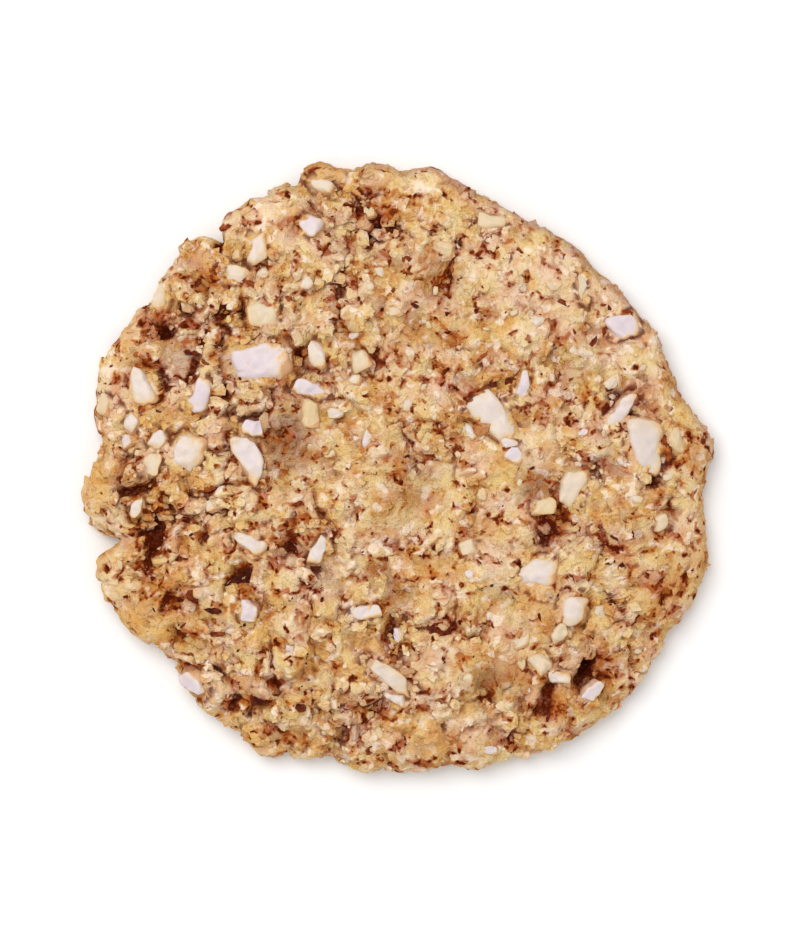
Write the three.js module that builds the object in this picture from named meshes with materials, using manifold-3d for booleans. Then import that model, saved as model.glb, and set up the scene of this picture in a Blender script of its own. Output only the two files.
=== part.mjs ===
// Almond cookie: one round, crumbly baked cookie with chopped almonds set in its top.
// Millimetres, +Z up. The origin is on the flat base, under the middle of the cookie.
// +X and +Y are the right and the top of the cookie as it is seen from above.
import * as THREE from "three";
import Module from "manifold-3d";
import { mergeVertices } from "three/addons/utils/BufferGeometryUtils.js";

// Driving dimensions of the round.
const MEAN_RADIUS = 38.7;
const CROWN_HEIGHT = 8; // base to the middle of the top, without its crags
const WAIST_HEIGHT = 2.6; // level where the cookie is widest
const BASE_SHARE = 0.955; // radius of the flat base over the radius at the waist
const SHOULDER_POWER = 5; // how late the top starts to fall away to the rim
const FALL_POWER = 2; // how round it falls

// The outline is lopsided: lobes round the edge, their lift, and the bearing of one peak in degrees.
const LOBES = [
  { count: 1, lift: 1.44, bearing: -101 },
  { count: 2, lift: 1.21, bearing: -37 },
  { count: 3, lift: 0.66, bearing: -21 },
];

// Lumps and notches of the edge: bearing in degrees, lift, half width in degrees.
const EDGE_LUMPS = [
  [5, 1.7, 5],
  [15, -0.8, 5],
  [28, 0.6, 5],
  [44, -0.7, 6],
  [62, -0.8, 4],
  [83, 0.6, 2.5],
  [98, -0.5, 1.5],
  [105, 1.1, 3.5],
  [110, -1, 1.4],
  [128, -1.4, 1.8],
  [135, 0.3, 3],
  [145, -0.8, 2],
  [159, 0.8, 7],
  [176, -1.5, 4.5],
  [186, 1.5, 4],
  [194.5, -3.4, 1.5],
  [203, 1.4, 8],
  [218, -1.3, 4.5],
  [222, -1.3, 2.5],
  [244, 1.5, 5],
  [266, -0.4, 9],
  [280, -1.7, 2],
  [297, 0.5, 3],
  [306, 1.1, 7],
  [325, -0.9, 5],
  [343, 0.7, 4],
  [353, -0.6, 4],
];

// Crags: clumps of dough about their centres, which are scattered in space a cell apart.
const CLUMP_SIZE = 4.4;
const CLUMP_SCATTER = 0.85; // how far a centre strays in its cell
const CLUMP_DEPTH = 1.7; // roundness of a clump towards the crevices round it
const CLUMP_LEVEL = 0.38; // share of a cell where a clump's face is at the smooth level
const CLUMP_STEP = 0.8; // how far neighbouring clumps stand above each other
const CLUMP_SALTS = { centre: [1, 2, 3], level: 4 }; // keep a clump's draws apart
const SWELL_SIZE = 13; // distance between the wide swells of the top
const SWELL_LIFT = 0.7;
const SWELL_SALT = 11;
const ROUGHER_LEFT = 0.3; // the left side is craggier than the right by this share each way

// Pits and cracks of the top: x, y, length, width, turn in degrees, depth.
const PITS = [
  [-31.6, -9, 5.1, 1.9, 88, 4],
  [24.3, -26, 5.6, 2.6, 55, 4.5],
  [18.9, -30.3, 5.9, 2.6, 78, 3],
  [19.5, -7, 4.9, 2.6, 60, 2],
  [33, -1.3, 6.4, 2, 52, 2],
  [-30.9, 17.9, 2.6, 2, 40, 3],
  [-3, 31.2, 4.6, 1.4, 75, 2.5],
  [-13, 15.6, 3.8, 1.8, -60, 1.5],
  [5.4, 23.4, 3.8, 3.1, 90, 1],
  [-1.7, -31.4, 4.6, 2.8, 10, 1.6],
  [11.2, -27.5, 3.3, 2.6, 0, 1.5],
  [-20, -14, 4.6, 2.8, 60, 2],
  [-33.5, -2.6, 3.6, 1.5, 20, 2.2],
  [-19.9, 19.5, 3.3, 1, 75, 2.5],
  [-29.2, -4.8, 4.4, 1.2, -70, 2.2],
  [-14.1, -10.3, 3.8, 1.8, 75, 1.6],
  [-28.4, -21.6, 3.1, 1.5, 80, 1.8],
  [-26.7, 23.5, 4.6, 1, -50, 1.8],
  [-23, 28.2, 3.3, 0.9, 85, 2],
  [34.5, -17, 2.6, 1.3, 80, 1.6],
  [-7.9, 5.3, 3.1, 1.4, 30, 1.6],
  [11.7, 10.9, 5.1, 1.3, 5, 1.2],
];
const PIT_STEEPNESS = 1.5;

// Chopped almonds that show in the top: x, y, length, width, turn in degrees, and how much
// narrower the far end is.
const ALMONDS = [
  [-17.5, 13.2, 7.9, 4.9, 4, -0.35],
  [31.4, 2.8, 6.7, 3.8, -84, 0.25],
  [-19.3, 1.2, 7.2, 2.3, -65, 0.35],
  [-1, -26.8, 6.9, 1.8, -36, 0.15],
  [13, 6.1, 6.1, 2.8, -60, 0.2],
  [22.3, -2.2, 5.4, 3.1, 72, 0],
  [28.1, 7.2, 5.4, 1.5, 45, 0],
  [-26.9, 1.9, 4.9, 3.7, 70, 0.1],
  [-25.7, 9, 4.9, 1.9, 72, 0.2],
  [15.8, 10.3, 4.9, 1.7, 86, 0],
  [17.9, -13.4, 4.6, 3.6, 70, 0.35],
  [-11.2, 10, 4.6, 1.8, -18, 0.2],
  [-33.1, 10.7, 4.4, 3.2, 95, 0.35],
  [-17, 19.4, 4.4, 3.1, -5, 0],
  [-26.3, -27.7, 4.4, 2, -42, 0],
  [22.2, -17.9, 4.1, 3.5, 60, 0.1],
  [-30.4, 21.8, 4.1, 2.6, 70, 0.2],
  [-18.8, -9.7, 4.1, 1.8, -32, -0.1],
  [-10.2, -10.6, 4.1, 1.8, 65, 0.25],
  [-0.2, -29.5, 4.1, 1.9, -25, -0.2],
  [12, 31.4, 3.8, 2.6, 0, 0],
  [-4.3, -18.5, 3.8, 1.7, 10, 0],
  [-9.8, 35.8, 3.6, 1.8, -20, 0.1],
  [23.2, 22.6, 3.6, 1.3, -75, 0],
  [28.7, 18, 3.5, 2.8, 45, -0.1],
  [-18.1, 28, 4, 2.5, 100, 0.35],
  [-10.4, 14.5, 3.3, 2.6, 80, 0.2],
  [-20.8, 24.5, 3.3, 2.2, -5, 0.25],
  [-31.4, 0.2, 3.3, 2.2, 65, 0],
  [24.8, -28.4, 3.3, 1.8, 55, 0.15],
  [-18.4, 5.1, 3.2, 1.9, -15, 0],
  [18.2, -25.2, 3.1, 2.8, -60, 0],
  [-4.9, 13.5, 2.9, 2.8, -70, -0.2],
  [-19.1, -18.5, 2.9, 2.3, 75, -0.25],
  [-11.3, 30.8, 2.8, 2.3, -30, -0.15],
  [8.9, -10.3, 2.8, 2.2, 20, 0],
  [-30.7, 3.5, 2.8, 2, 35, 0],
  [-37.3, 7.9, 2.6, 2.3, 80, 0],
  [18.2, -4.7, 2.6, 2.3, 0, 0],
  [20.3, -21.2, 2.6, 2.2, 30, 0],
  [20.5, -26.7, 2.6, 1.8, -10, 0],
  [-33.9, 5.6, 2.6, 1.8, 65, 0],
  [-33.3, -5.2, 2.6, 1.8, 75, 0],
  [33.3, -7, 2.4, 1.9, -60, 0],
];
const ALMOND_PROUD = 0.75; // how far an almond's face stands above the smooth top
const ALMOND_THICK_SHARE = 0.8; // thickness over width
const ALMOND_TILT = 9; // degrees that a piece may lie off the surface
const FACET_POWER = 10; // sharpness of the edges between an almond's cut faces
const FACET_SLEW = 20; // degrees that a cut face may turn off square
const FACET_SALT = 21;
const BED_SHARE = 0.85; // how much of the crags an almond presses flat under itself
const BED_STEEPNESS = 1;
const RIM_SHARE = 0.98; // an almond at the edge sits no further out than this share of the radius

// Fineness of the faceted surface.
const SECTION_SAMPLES = 2000; // steps that measure the section's length
const RINGS = 32;
const SECTORS = 6; // each ring has this many points more than the one inside it
const WALL_STEPS = 2;
const ALMOND_SPLITS = 2; // facets along each edge of an almond piece

const COOKIE_COLOUR = 0xc9965f;
const COOKIE_ROUGHNESS = 0.9;

const { degToRad, lerp } = THREE.MathUtils;
const UP = new THREE.Vector3(0, 0, 1);

// A repeatable draw from 0 to 1 for three whole numbers and a salt: the fraction of a wide sine.
const DRAW_WAVES = [12.9898, 78.233, 37.719, 53.71];
const DRAW_SPREAD = 43758.5453;

function draw(a, b, c, salt) {
  const [waveA, waveB, waveC, waveSalt] = DRAW_WAVES;
  const value = DRAW_SPREAD * Math.sin(a * waveA + b * waveB + c * waveC + salt * waveSalt);
  return value - Math.floor(value);
}

// Radius of the outline at a bearing in degrees.
function outlineRadius(bearing) {
  let radius = MEAN_RADIUS;
  for (const lobe of LOBES) {
    radius += lobe.lift * Math.cos(lobe.count * degToRad(bearing - lobe.bearing));
  }
  for (const [at, lift, halfWidth] of EDGE_LUMPS) {
    const off = THREE.MathUtils.euclideanModulo(bearing - at + 180, 360) - 180;
    radius += lift * Math.exp(-((off / halfWidth) ** 2));
  }
  return radius;
}

// Half of the section, from the middle of the top to the waist, as radius and height.
class TopSection extends THREE.Curve {
  getPoint(t, target = new THREE.Vector2()) {
    const turn = (t * Math.PI) / 2;
    const share = Math.sin(turn) ** (2 / SHOULDER_POWER);
    const rise = Math.cos(turn) ** (2 / FALL_POWER);
    return target.set(share * MEAN_RADIUS, lerp(WAIST_HEIGHT, CROWN_HEIGHT, rise));
  }
}

// Height of the smooth top, and its direction outwards, at a share of the outline's radius.
function topHeight(share) {
  const rise = Math.max(0, 1 - share ** SHOULDER_POWER) ** (1 / FALL_POWER);
  return lerp(WAIST_HEIGHT, CROWN_HEIGHT, rise);
}

function topNormal(share, bearing) {
  const rise = (topHeight(share) - WAIST_HEIGHT) / (CROWN_HEIGHT - WAIST_HEIGHT);
  const out = (SHOULDER_POWER * share ** (SHOULDER_POWER - 1)) / MEAN_RADIUS;
  const up = (FALL_POWER * rise ** (FALL_POWER - 1)) / (CROWN_HEIGHT - WAIST_HEIGHT);
  const angle = degToRad(bearing);
  return new THREE.Vector3(out * Math.cos(angle), out * Math.sin(angle), up).normalize();
}

// Wide swells of the top, from -1 to 1: draws at the corners of a cell, eased between them.
function swell(point) {
  const scaled = point.clone().divideScalar(SWELL_SIZE);
  const cell = scaled.clone().floor();
  const ease = (t) => t * t * (3 - 2 * t);
  const [fx, fy, fz] = scaled.sub(cell).toArray().map(ease);
  const corner = (i, j, k) => draw(cell.x + i, cell.y + j, cell.z + k, SWELL_SALT);
  const edge = (j, k) => lerp(corner(0, j, k), corner(1, j, k), fx);
  return 2 * lerp(lerp(edge(0, 0), edge(1, 0), fy), lerp(edge(0, 1), edge(1, 1), fy), fz) - 1;
}

// The clump that a point belongs to: the distance to its centre in cells, and the clump's own draw.
function nearestClump(point) {
  const scaled = point.clone().divideScalar(CLUMP_SIZE);
  const cell = scaled.clone().floor();
  let nearest = { distance: Infinity, level: 0 };
  for (let i = cell.x - 1; i <= cell.x + 1; i++) {
    for (let j = cell.y - 1; j <= cell.y + 1; j++) {
      for (let k = cell.z - 1; k <= cell.z + 1; k++) {
        const [x, y, z] = CLUMP_SALTS.centre.map(
          (salt) => 0.5 + CLUMP_SCATTER * (draw(i, j, k, salt) - 0.5),
        );
        const distance = scaled.distanceTo(new THREE.Vector3(i + x, j + y, k + z));
        if (distance < nearest.distance) {
          nearest = { distance, level: draw(i, j, k, CLUMP_SALTS.level) };
        }
      }
    }
  }
  return nearest;
}

// How deep in a long oval a place is: 1 in its middle, falling to 0 outside it.
function ovalWeight(x, y, [atX, atY, length, width, turn], steepness) {
  const angle = degToRad(turn);
  const along = (x - atX) * Math.cos(angle) + (y - atY) * Math.sin(angle);
  const across = (y - atY) * Math.cos(angle) - (x - atX) * Math.sin(angle);
  const squared = ((2 * along) / length) ** 2 + ((2 * across) / width) ** 2;
  return Math.exp(-(squared ** steepness));
}

// How far the real surface stands off the smooth one at a point of the smooth one.
function relief(point) {
  const clump = nearestClump(point);
  const rough = 1 - (ROUGHER_LEFT * point.x) / MEAN_RADIUS;
  let crag = CLUMP_DEPTH * (CLUMP_LEVEL - clump.distance ** 2) + CLUMP_STEP * (clump.level - 0.5);
  for (const almond of ALMONDS) {
    crag *= 1 - BED_SHARE * ovalWeight(point.x, point.y, almond, BED_STEEPNESS);
  }
  let lift = rough * crag + SWELL_LIFT * swell(point);
  for (const [x, y, length, width, turn, depth] of PITS) {
    lift -= depth * ovalWeight(point.x, point.y, [x, y, length, width, turn], PIT_STEEPNESS);
  }
  return lift;
}

// The dough: rings of facets over the top, a wall down to the base, and the flat base.
function doughGeometry() {
  const positions = [];
  const faces = [];
  const add = (point) => positions.push(point.x, point.y, point.z) / 3 - 1;

  const section = new TopSection();
  section.arcLengthDivisions = SECTION_SAMPLES;
  const rings = section.getSpacedPoints(RINGS).map(({ x }, ring) => {
    const share = Math.min(1, x / MEAN_RADIUS);
    const count = Math.max(1, SECTORS * ring);
    return Array.from({ length: count }, (_, i) => {
      const bearing = (360 * i) / count;
      const radius = share * outlineRadius(bearing);
      const angle = degToRad(bearing);
      const height = topHeight(share);
      const smooth = new THREE.Vector3(radius * Math.cos(angle), radius * Math.sin(angle), height);
      return add(smooth.clone().addScaledVector(topNormal(share, bearing), relief(smooth)));
    });
  });

  for (let ring = 0; ring < RINGS; ring++) {
    const inner = rings[ring];
    const outer = rings[ring + 1];
    for (let sector = 0; sector < SECTORS; sector++) {
      for (let i = 0; i <= ring; i++) {
        const a = inner[(sector * ring + i) % inner.length];
        const b = outer[sector * (ring + 1) + i];
        const c = outer[(sector * (ring + 1) + i + 1) % outer.length];
        faces.push(a, b, c);
        if (i < ring) faces.push(a, c, inner[(sector * ring + i + 1) % inner.length]);
      }
    }
  }

  let above = rings[RINGS];
  for (let step = 1; step <= WALL_STEPS; step++) {
    const turn = ((step / WALL_STEPS) * Math.PI) / 2;
    const share = lerp(BASE_SHARE, 1, Math.cos(turn));
    const height = step === WALL_STEPS ? 0 : WAIST_HEIGHT * (1 - Math.sin(turn));
    const below = above.map((_, i) => {
      const bearing = (360 * i) / above.length;
      const angle = degToRad(bearing);
      const outwards = new THREE.Vector3(Math.cos(angle), Math.sin(angle), 0);
      const smooth = outwards.clone().multiplyScalar(share * outlineRadius(bearing)).setZ(height);
      return add(smooth.clone().addScaledVector(outwards, relief(smooth)));
    });
    above.forEach((a, i) => {
      const next = (i + 1) % above.length;
      faces.push(a, below[i], below[next], a, below[next], above[next]);
    });
    above = below;
  }

  const middle = add(new THREE.Vector3());
  above.forEach((a, i) => faces.push(middle, above[(i + 1) % above.length], a));

  const geometry = new THREE.BufferGeometry();
  geometry.setAttribute("position", new THREE.Float32BufferAttribute(positions, 3));
  return geometry.setIndex(faces);
}

// Cut faces of one almond piece, as directions: six sides of a block, each a little off square.
function cutFaces(piece) {
  const sides = [0, 90, 180, 270].map((bearing, k) => {
    const turned = degToRad(bearing + FACET_SLEW * (2 * draw(piece, k, 0, FACET_SALT) - 1));
    const lean = degToRad(FACET_SLEW * (2 * draw(piece, k, 1, FACET_SALT) - 1));
    const level = Math.cos(lean);
    return new THREE.Vector3(level * Math.cos(turned), level * Math.sin(turned), Math.sin(lean));
  });
  return [...sides, UP, UP.clone().negate()];
}

// One chopped almond piece: a rounded block whose radius in a direction follows from its cut faces.
function almondGeometry([x, y, length, width, turn, taper], piece) {
  const geometry = new THREE.BoxGeometry(2, 2, 2, ALMOND_SPLITS, ALMOND_SPLITS, ALMOND_SPLITS);
  geometry.deleteAttribute("normal");
  geometry.deleteAttribute("uv");
  const merged = mergeVertices(geometry);
  const faces = cutFaces(piece);
  const thick = ALMOND_THICK_SHARE * width;
  const half = new THREE.Vector3(length, width, thick).divideScalar(2);

  const bearing = THREE.MathUtils.radToDeg(Math.atan2(y, x));
  const share = Math.min(RIM_SHARE, Math.hypot(x, y) / outlineRadius(bearing));
  const normal = topNormal(share, bearing);
  const tilt = (axis) => degToRad(ALMOND_TILT * (2 * draw(piece, axis, 2, FACET_SALT) - 1));
  const smooth = new THREE.Vector3(x, y, topHeight(share));
  const sink = ALMOND_PROUD - half.z + SWELL_LIFT * swell(smooth);
  const place = smooth.clone().addScaledVector(normal, sink);
  const pose = new THREE.Quaternion()
    .setFromUnitVectors(UP, normal)
    .multiply(new THREE.Quaternion().setFromAxisAngle(UP, degToRad(turn)))
    .multiply(new THREE.Quaternion().setFromEuler(new THREE.Euler(tilt(0), tilt(1), 0)));

  const vertices = merged.getAttribute("position");
  const point = new THREE.Vector3();
  for (let i = 0; i < vertices.count; i++) {
    point.fromBufferAttribute(vertices, i).normalize();
    const sum = faces.reduce((total, face) => total + Math.max(0, point.dot(face)) ** FACET_POWER, 0);
    point.multiplyScalar(sum ** (-1 / FACET_POWER));
    point.y *= 1 - taper * point.x;
    point.multiply(half);
    point.applyQuaternion(pose).add(place);
    vertices.setXYZ(i, point.x, point.y, point.z);
  }
  return merged;
}

const wasm = await Module();
wasm.setup();

function toSolid(geometry) {
  const vertProperties = new Float32Array(geometry.getAttribute("position").array);
  const triVerts = new Uint32Array(geometry.index.array);
  return new wasm.Manifold(new wasm.Mesh({ numProp: 3, vertProperties, triVerts }));
}

function toGeometry(solid) {
  const { vertProperties, triVerts } = solid.getMesh();
  const geometry = new THREE.BufferGeometry();
  geometry.setAttribute("position", new THREE.BufferAttribute(vertProperties, 3));
  return geometry.setIndex(new THREE.BufferAttribute(triVerts, 1));
}

// The almonds are baked into the dough, so the cookie is one solid.
const bakedSolid = ALMONDS.reduce(
  (solid, almond, piece) => solid.add(toSolid(almondGeometry(almond, piece))),
  toSolid(doughGeometry()),
);
const cookieGeometry = toGeometry(bakedSolid);
cookieGeometry.computeVertexNormals();

const crust = new THREE.MeshStandardMaterial({
  color: COOKIE_COLOUR,
  roughness: COOKIE_ROUGHNESS,
  metalness: 0,
});
const cookie = new THREE.Mesh(cookieGeometry, crust);
cookie.name = "cookie";

const almondCookie = new THREE.Group();
almondCookie.add(cookie);

export default almondCookie;
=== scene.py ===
"""Almond cookie: a flat, crumbly baked round with chopped almonds and scraps of almond skin.

Laid out as a Blender add-on and run as a script. Shapes are worked out in millimetres and put into
meshes in metres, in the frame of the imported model.
"""

import itertools
import math

import bpy
import numpy as np
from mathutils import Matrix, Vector
from bpy.props import FloatProperty, FloatVectorProperty, IntProperty, PointerProperty


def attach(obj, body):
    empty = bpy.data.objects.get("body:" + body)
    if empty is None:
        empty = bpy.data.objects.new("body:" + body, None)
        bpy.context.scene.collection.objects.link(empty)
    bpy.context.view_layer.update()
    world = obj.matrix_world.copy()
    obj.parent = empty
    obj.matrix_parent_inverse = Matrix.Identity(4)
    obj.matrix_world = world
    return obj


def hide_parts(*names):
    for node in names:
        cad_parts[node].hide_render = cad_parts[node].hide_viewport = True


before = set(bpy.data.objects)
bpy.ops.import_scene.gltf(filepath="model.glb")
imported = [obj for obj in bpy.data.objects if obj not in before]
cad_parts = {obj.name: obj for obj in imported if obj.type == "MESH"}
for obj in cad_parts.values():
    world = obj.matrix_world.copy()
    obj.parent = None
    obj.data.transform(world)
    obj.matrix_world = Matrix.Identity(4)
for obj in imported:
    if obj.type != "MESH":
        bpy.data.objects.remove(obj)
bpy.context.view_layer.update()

bl_info = {
    "name": "Almond Cookie",
    "version": (1, 0, 0),
    "blender": (4, 5, 0),
    "location": "3D View > Sidebar > Cookie",
    "description": "Makes a crumbly almond cookie with chopped almonds, skin flakes and loose crumb",
    "category": "Object",
}

COOKIE_NODE = "cookie"
BODY = "root"
MM = 0.001

# Driving sizes of the round in millimetres, as in the solid.
MEAN_RADIUS = 38.7
CROWN_HEIGHT = 8
WAIST_HEIGHT = 2.6
BASE_SHARE = 0.955
SHOULDER_POWER = 5
FALL_POWER = 2
SECTION_SAMPLES = 2000

# Lobes of the outline: how many round the edge, their lift, and the bearing of one peak in degrees.
LOBES = [(1, 1.44, -101), (2, 1.21, -37), (3, 0.66, -21)]

# Lumps and notches of the edge: bearing in degrees, lift, half width in degrees.
EDGE_LUMPS = [
    (5, 1.7, 5), (15, -0.8, 5), (28, 0.6, 5), (44, -0.7, 6), (62, -0.8, 4), (83, 0.6, 2.5),
    (98, -0.5, 1.5), (105, 1.1, 3.5), (110, -1, 1.4), (128, -1.4, 1.8), (135, 0.3, 3),
    (145, -0.8, 2), (159, 0.8, 7), (176, -1.5, 4.5), (186, 1.5, 4), (194.5, -3.4, 1.5),
    (203, 1.4, 8), (218, -1.3, 4.5), (222, -1.3, 2.5), (244, 1.5, 5), (266, -0.4, 9),
    (280, -1.7, 2), (297, 0.5, 3), (306, 1.1, 7), (325, -0.9, 5), (343, 0.7, 4), (353, -0.6, 4),
]

# Crags of the solid: clumps about scattered centres, and wide swells.
CLUMP_SIZE = 4.4
CLUMP_SCATTER = 0.85
CLUMP_DEPTH = 1.7
CLUMP_LEVEL = 0.38
CLUMP_STEP = 0.8
CLUMP_SALTS = (1, 2, 3, 4)
SWELL_SIZE = 13
SWELL_LIFT = 0.7
SWELL_SALT = 11
ROUGHER_LEFT = 0.3

# Pits and cracks of the top: x, y, length, width, turn in degrees, depth.
PITS = [
    (-31.6, -9, 5.1, 1.9, 88, 4), (24.3, -26, 5.6, 2.6, 55, 4.5), (18.9, -30.3, 5.9, 2.6, 78, 3),
    (19.5, -7, 4.9, 2.6, 60, 2), (33, -1.3, 6.4, 2, 52, 2), (-30.9, 17.9, 2.6, 2, 40, 3),
    (-3, 31.2, 4.6, 1.4, 75, 2.5), (-13, 15.6, 3.8, 1.8, -60, 1.5), (5.4, 23.4, 3.8, 3.1, 90, 1),
    (-1.7, -31.4, 4.6, 2.8, 10, 1.6), (11.2, -27.5, 3.3, 2.6, 0, 1.5),
    (-20, -14, 4.6, 2.8, 60, 2), (-33.5, -2.6, 3.6, 1.5, 20, 2.2), (-19.9, 19.5, 3.3, 1, 75, 2.5),
    (-29.2, -4.8, 4.4, 1.2, -70, 2.2), (-14.1, -10.3, 3.8, 1.8, 75, 1.6),
    (-28.4, -21.6, 3.1, 1.5, 80, 1.8), (-26.7, 23.5, 4.6, 1, -50, 1.8),
    (-23, 28.2, 3.3, 0.9, 85, 2), (34.5, -17, 2.6, 1.3, 80, 1.6), (-7.9, 5.3, 3.1, 1.4, 30, 1.6),
    (11.7, 10.9, 5.1, 1.3, 5, 1.2),
]
PIT_STEEPNESS = 1.5

# Crumbs and bits of almond keep out of pits deeper than this.
CLEAR_PIT = 2.2

# Thin cracks of the top, finer than the solid's, dented and painted with shade: x, y, length, width, turn in
# degrees, weight.
CRACKS = [
    (11.6, 29, 4, 0.9, 35, 0.9), (14.2, 26.4, 3, 0.6, 60, 0.7), (16.8, 20, 5.5, 1, -25, 0.8),
    (24.2, 17.8, 3, 0.7, 80, 0.8), (18.7, 9.4, 3.6, 0.9, 60, 0.6), (24.6, 9.8, 4, 1.1, 20, 0.6),
    (8.7, 5.4, 3.6, 0.9, -60, 1), (2.6, -6.8, 5, 0.7, 5, 0.6), (-1.2, -11.8, 4, 0.9, -10, 0.8),
    (36.3, -14, 4.4, 1.1, 70, 1), (31.2, -13.6, 3, 0.9, 80, 0.8), (27.7, -17.6, 4, 0.9, -60, 0.8),
    (-23.8, 16, 3.4, 1.5, 0, 0.9), (-26.8, 12.4, 4, 1.4, 70, 0.8), (-22.2, 8.2, 4.2, 1.5, 80, 0.9),
    (-28.3, 4.4, 2.6, 1.1, 10, 0.9), (-30.9, -1.8, 3.4, 1.4, 40, 0.9), (-24.8, -8.6, 5, 1.7, 75, 1),
    (-21.8, -5.8, 3, 1.1, -40, 0.9), (-16.6, -7, 3.6, 1.1, 30, 0.8), (-16.1, -17.6, 3.4, 1.1, -20, 0.8),
    (5.8, -33.4, 3.4, 0.9, 80, 0.8), (-23.8, -26, 3.2, 1.3, -50, 0.9), (-31.6, -9, 6, 3.6, 88, 1),
    (34.5, 0.2, 6.4, 1.8, 50, 0.9), (-4.6, 33.4, 3.4, 2.3, -30, 1), (-1.9, 30.8, 4, 2.1, 60, 1),
    (-12.9, 31.5, 3, 1.7, 60, 1), (-22.9, 28.4, 4, 1.5, 85, 1), (-22.2, 20.6, 4.2, 1.5, 75, 0.9),
    (-27.5, 20.4, 3.2, 1.4, -50, 0.8), (-30, 11.2, 4, 1.4, -60, 0.9), (-13.8, 10.2, 2.4, 1.3, -30, 0.8),
    (-7.4, 23.4, 3.2, 1, 75, 0.8), (7.4, 28.4, 2.6, 1, 50, 0.9), (6.2, 11.9, 4.2, 1, -20, 0.9),
    (26.4, 6.8, 3.2, 1.1, 60, 0.9), (14.3, 9.8, 2.8, 0.9, 80, 0.8), (-13, -6, 4.2, 1.5, 70, 0.9),
    (-26.2, -3, 3.2, 1.5, 60, 0.9), (-29.6, -17, 4.2, 1.5, 70, 0.9), (-12.2, -17.2, 4.2, 1.3, 80, 0.8),
    (-21.4, -30.6, 3.2, 1.8, 70, 1), (4.6, -10.2, 4.2, 1, -10, 0.8), (22.2, -23.2, 2.8, 1.1, -20, 0.9),
    (29, -17.4, 4.2, 1.1, 60, 0.9), (34, -18, 4.2, 1.1, 70, 0.9), (25.8, -7.2, 3.2, 0.9, -20, 0.6),
    (1.8, -26.4, 3.6, 1, 60, 0.8), (33.4, -14.8, 3, 0.9, 60, 0.8), (19.2, -7.2, 3.4, 2.5, 60, 0.8),
]
CRACK_RAGGED = 0.35
CRACK_DEPTH = 0.5

# Chopped almonds: x, y, length, width, turn in degrees, how much narrower the far end is,
# and tone from 0, lilac white, to 1, yellow.
ALMONDS = [
    (-18, 13.2, 9.4, 5.9, 2, -0.2, 0.05), (31.2, 2.8, 7.8, 4.8, -86, 0.15, 0.3),
    (-19, 1.2, 7.2, 3, -68, 0.2, 0.2), (-1, -26.8, 7.4, 2.2, -34, 0, 0.4),
    (12.4, 6.2, 7.6, 4.2, -50, 0.3, 0.35), (22.2, -2.4, 5.6, 3.5, 72, 0, 0.5),
    (28.3, 7.2, 5.8, 2.2, 47, 0, 0.25), (-27, 1.8, 5.6, 4.3, 70, 0.1, 0.35),
    (-25.4, 9.1, 4.9, 2.8, 70, 0.2, 0.05), (15.8, 10.3, 4.9, 1.7, 86, 0, 0.05),
    (17.8, -13.5, 5.3, 4.3, 60, 0.35, 0.35), (-11.2, 10, 4.6, 2.3, -18, 0.2, 0.05),
    (-32.9, 10.6, 4.9, 4, 95, 0.3, 0.35), (-17.3, 19.6, 4.4, 3.9, -5, 0, 0.6),
    (-26.3, -27.7, 4.4, 2.6, -42, 0, 0), (22.1, -18, 4.9, 4, 80, 0.1, 0.35),
    (-30.4, 21.8, 4.1, 2.6, 70, 0.2, 0.6), (-18.8, -9.7, 4.3, 2.3, -32, -0.1, 0.3),
    (-10.2, -10.6, 4.1, 1.8, 65, 0.25, 0.25), (-0.2, -29.5, 4.1, 1.9, -25, -0.2, 0.3),
    (12, 31.4, 3.8, 2.8, -15, 0.1, 0.7), (-4.3, -18.5, 3.8, 1.7, 10, 0, 0.2),
    (-9.8, 35.8, 3.6, 1.8, -20, 0.1, 0.5), (23.2, 22.6, 3.6, 1.3, -75, 0, 0.55),
    (28.7, 18, 4.2, 3.2, 20, -0.1, 0.05), (-18.2, 27.9, 4.2, 3, 100, 0.3, 0.4),
    (-10.3, 14.4, 3.8, 2.8, 80, 0.2, 0.4), (-21, 24.6, 3.9, 2.8, -10, 0.25, 0.5),
    (-31.4, 0.2, 3.3, 2.2, 65, 0, 0.6), (24.8, -28.4, 3.3, 1.8, 55, 0.15, 0.1),
    (-18.4, 5.1, 3.2, 1.9, -15, 0, 0.05), (18.2, -25.2, 3.1, 2.8, -60, 0, 0.55),
    (-4.9, 13.5, 2.9, 2.8, -70, -0.2, 0.6), (-19.2, -18.5, 3.2, 2.6, 75, -0.2, 0.1),
    (-11.1, 30.8, 3.2, 2.8, -30, -0.15, 0.05), (8.9, -10.3, 2.8, 2.2, 20, 0, 0.6),
    (-30.7, 3.5, 2.8, 2, 35, 0, 0.35), (-37.3, 7.9, 2.6, 2.3, 80, 0, 0.7),
    (18.4, -4.8, 3.2, 3, 0, 0, 0.8), (20.3, -21.2, 2.6, 2.2, 30, 0, 0.6),
    (20.5, -26.7, 2.6, 1.8, -10, 0, 0.35), (-33.9, 5.6, 2.6, 1.8, 65, 0, 0.3),
    (-33.3, -5.2, 2.6, 1.8, 75, 0, 0.35), (33.3, -7, 2.4, 1.9, -60, 0, 0.6),
]

# How an almond is cut and lies: height over the dough, thickness as a share of the width, tilt and slew of
# its sides in degrees, cells along a face, and the power that squares its corners.
ALMOND_PROUD = 0.45
ALMOND_THICK_SHARE = 0.8
ALMOND_TILT = 9
FACET_SLEW = 20
FACET_SALT = 21
ALMOND_SPLITS = 16
ROUNDED_POWER = 5

# Edges of an almond: noise that chips them (size, reach, salt), the power of the oval that they follow,
# the limits of its narrowing, and the heights between which a side becomes the top.
CHIP_WAVES = ((2.2, 0.3, 81), (0.8, 0.2, 84))
OVAL_POWER = 4
TAPER_LIMITS = (0.5, 1.5)
ALMOND_SIDE_RANGE = (0.3, 0.8)
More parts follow.
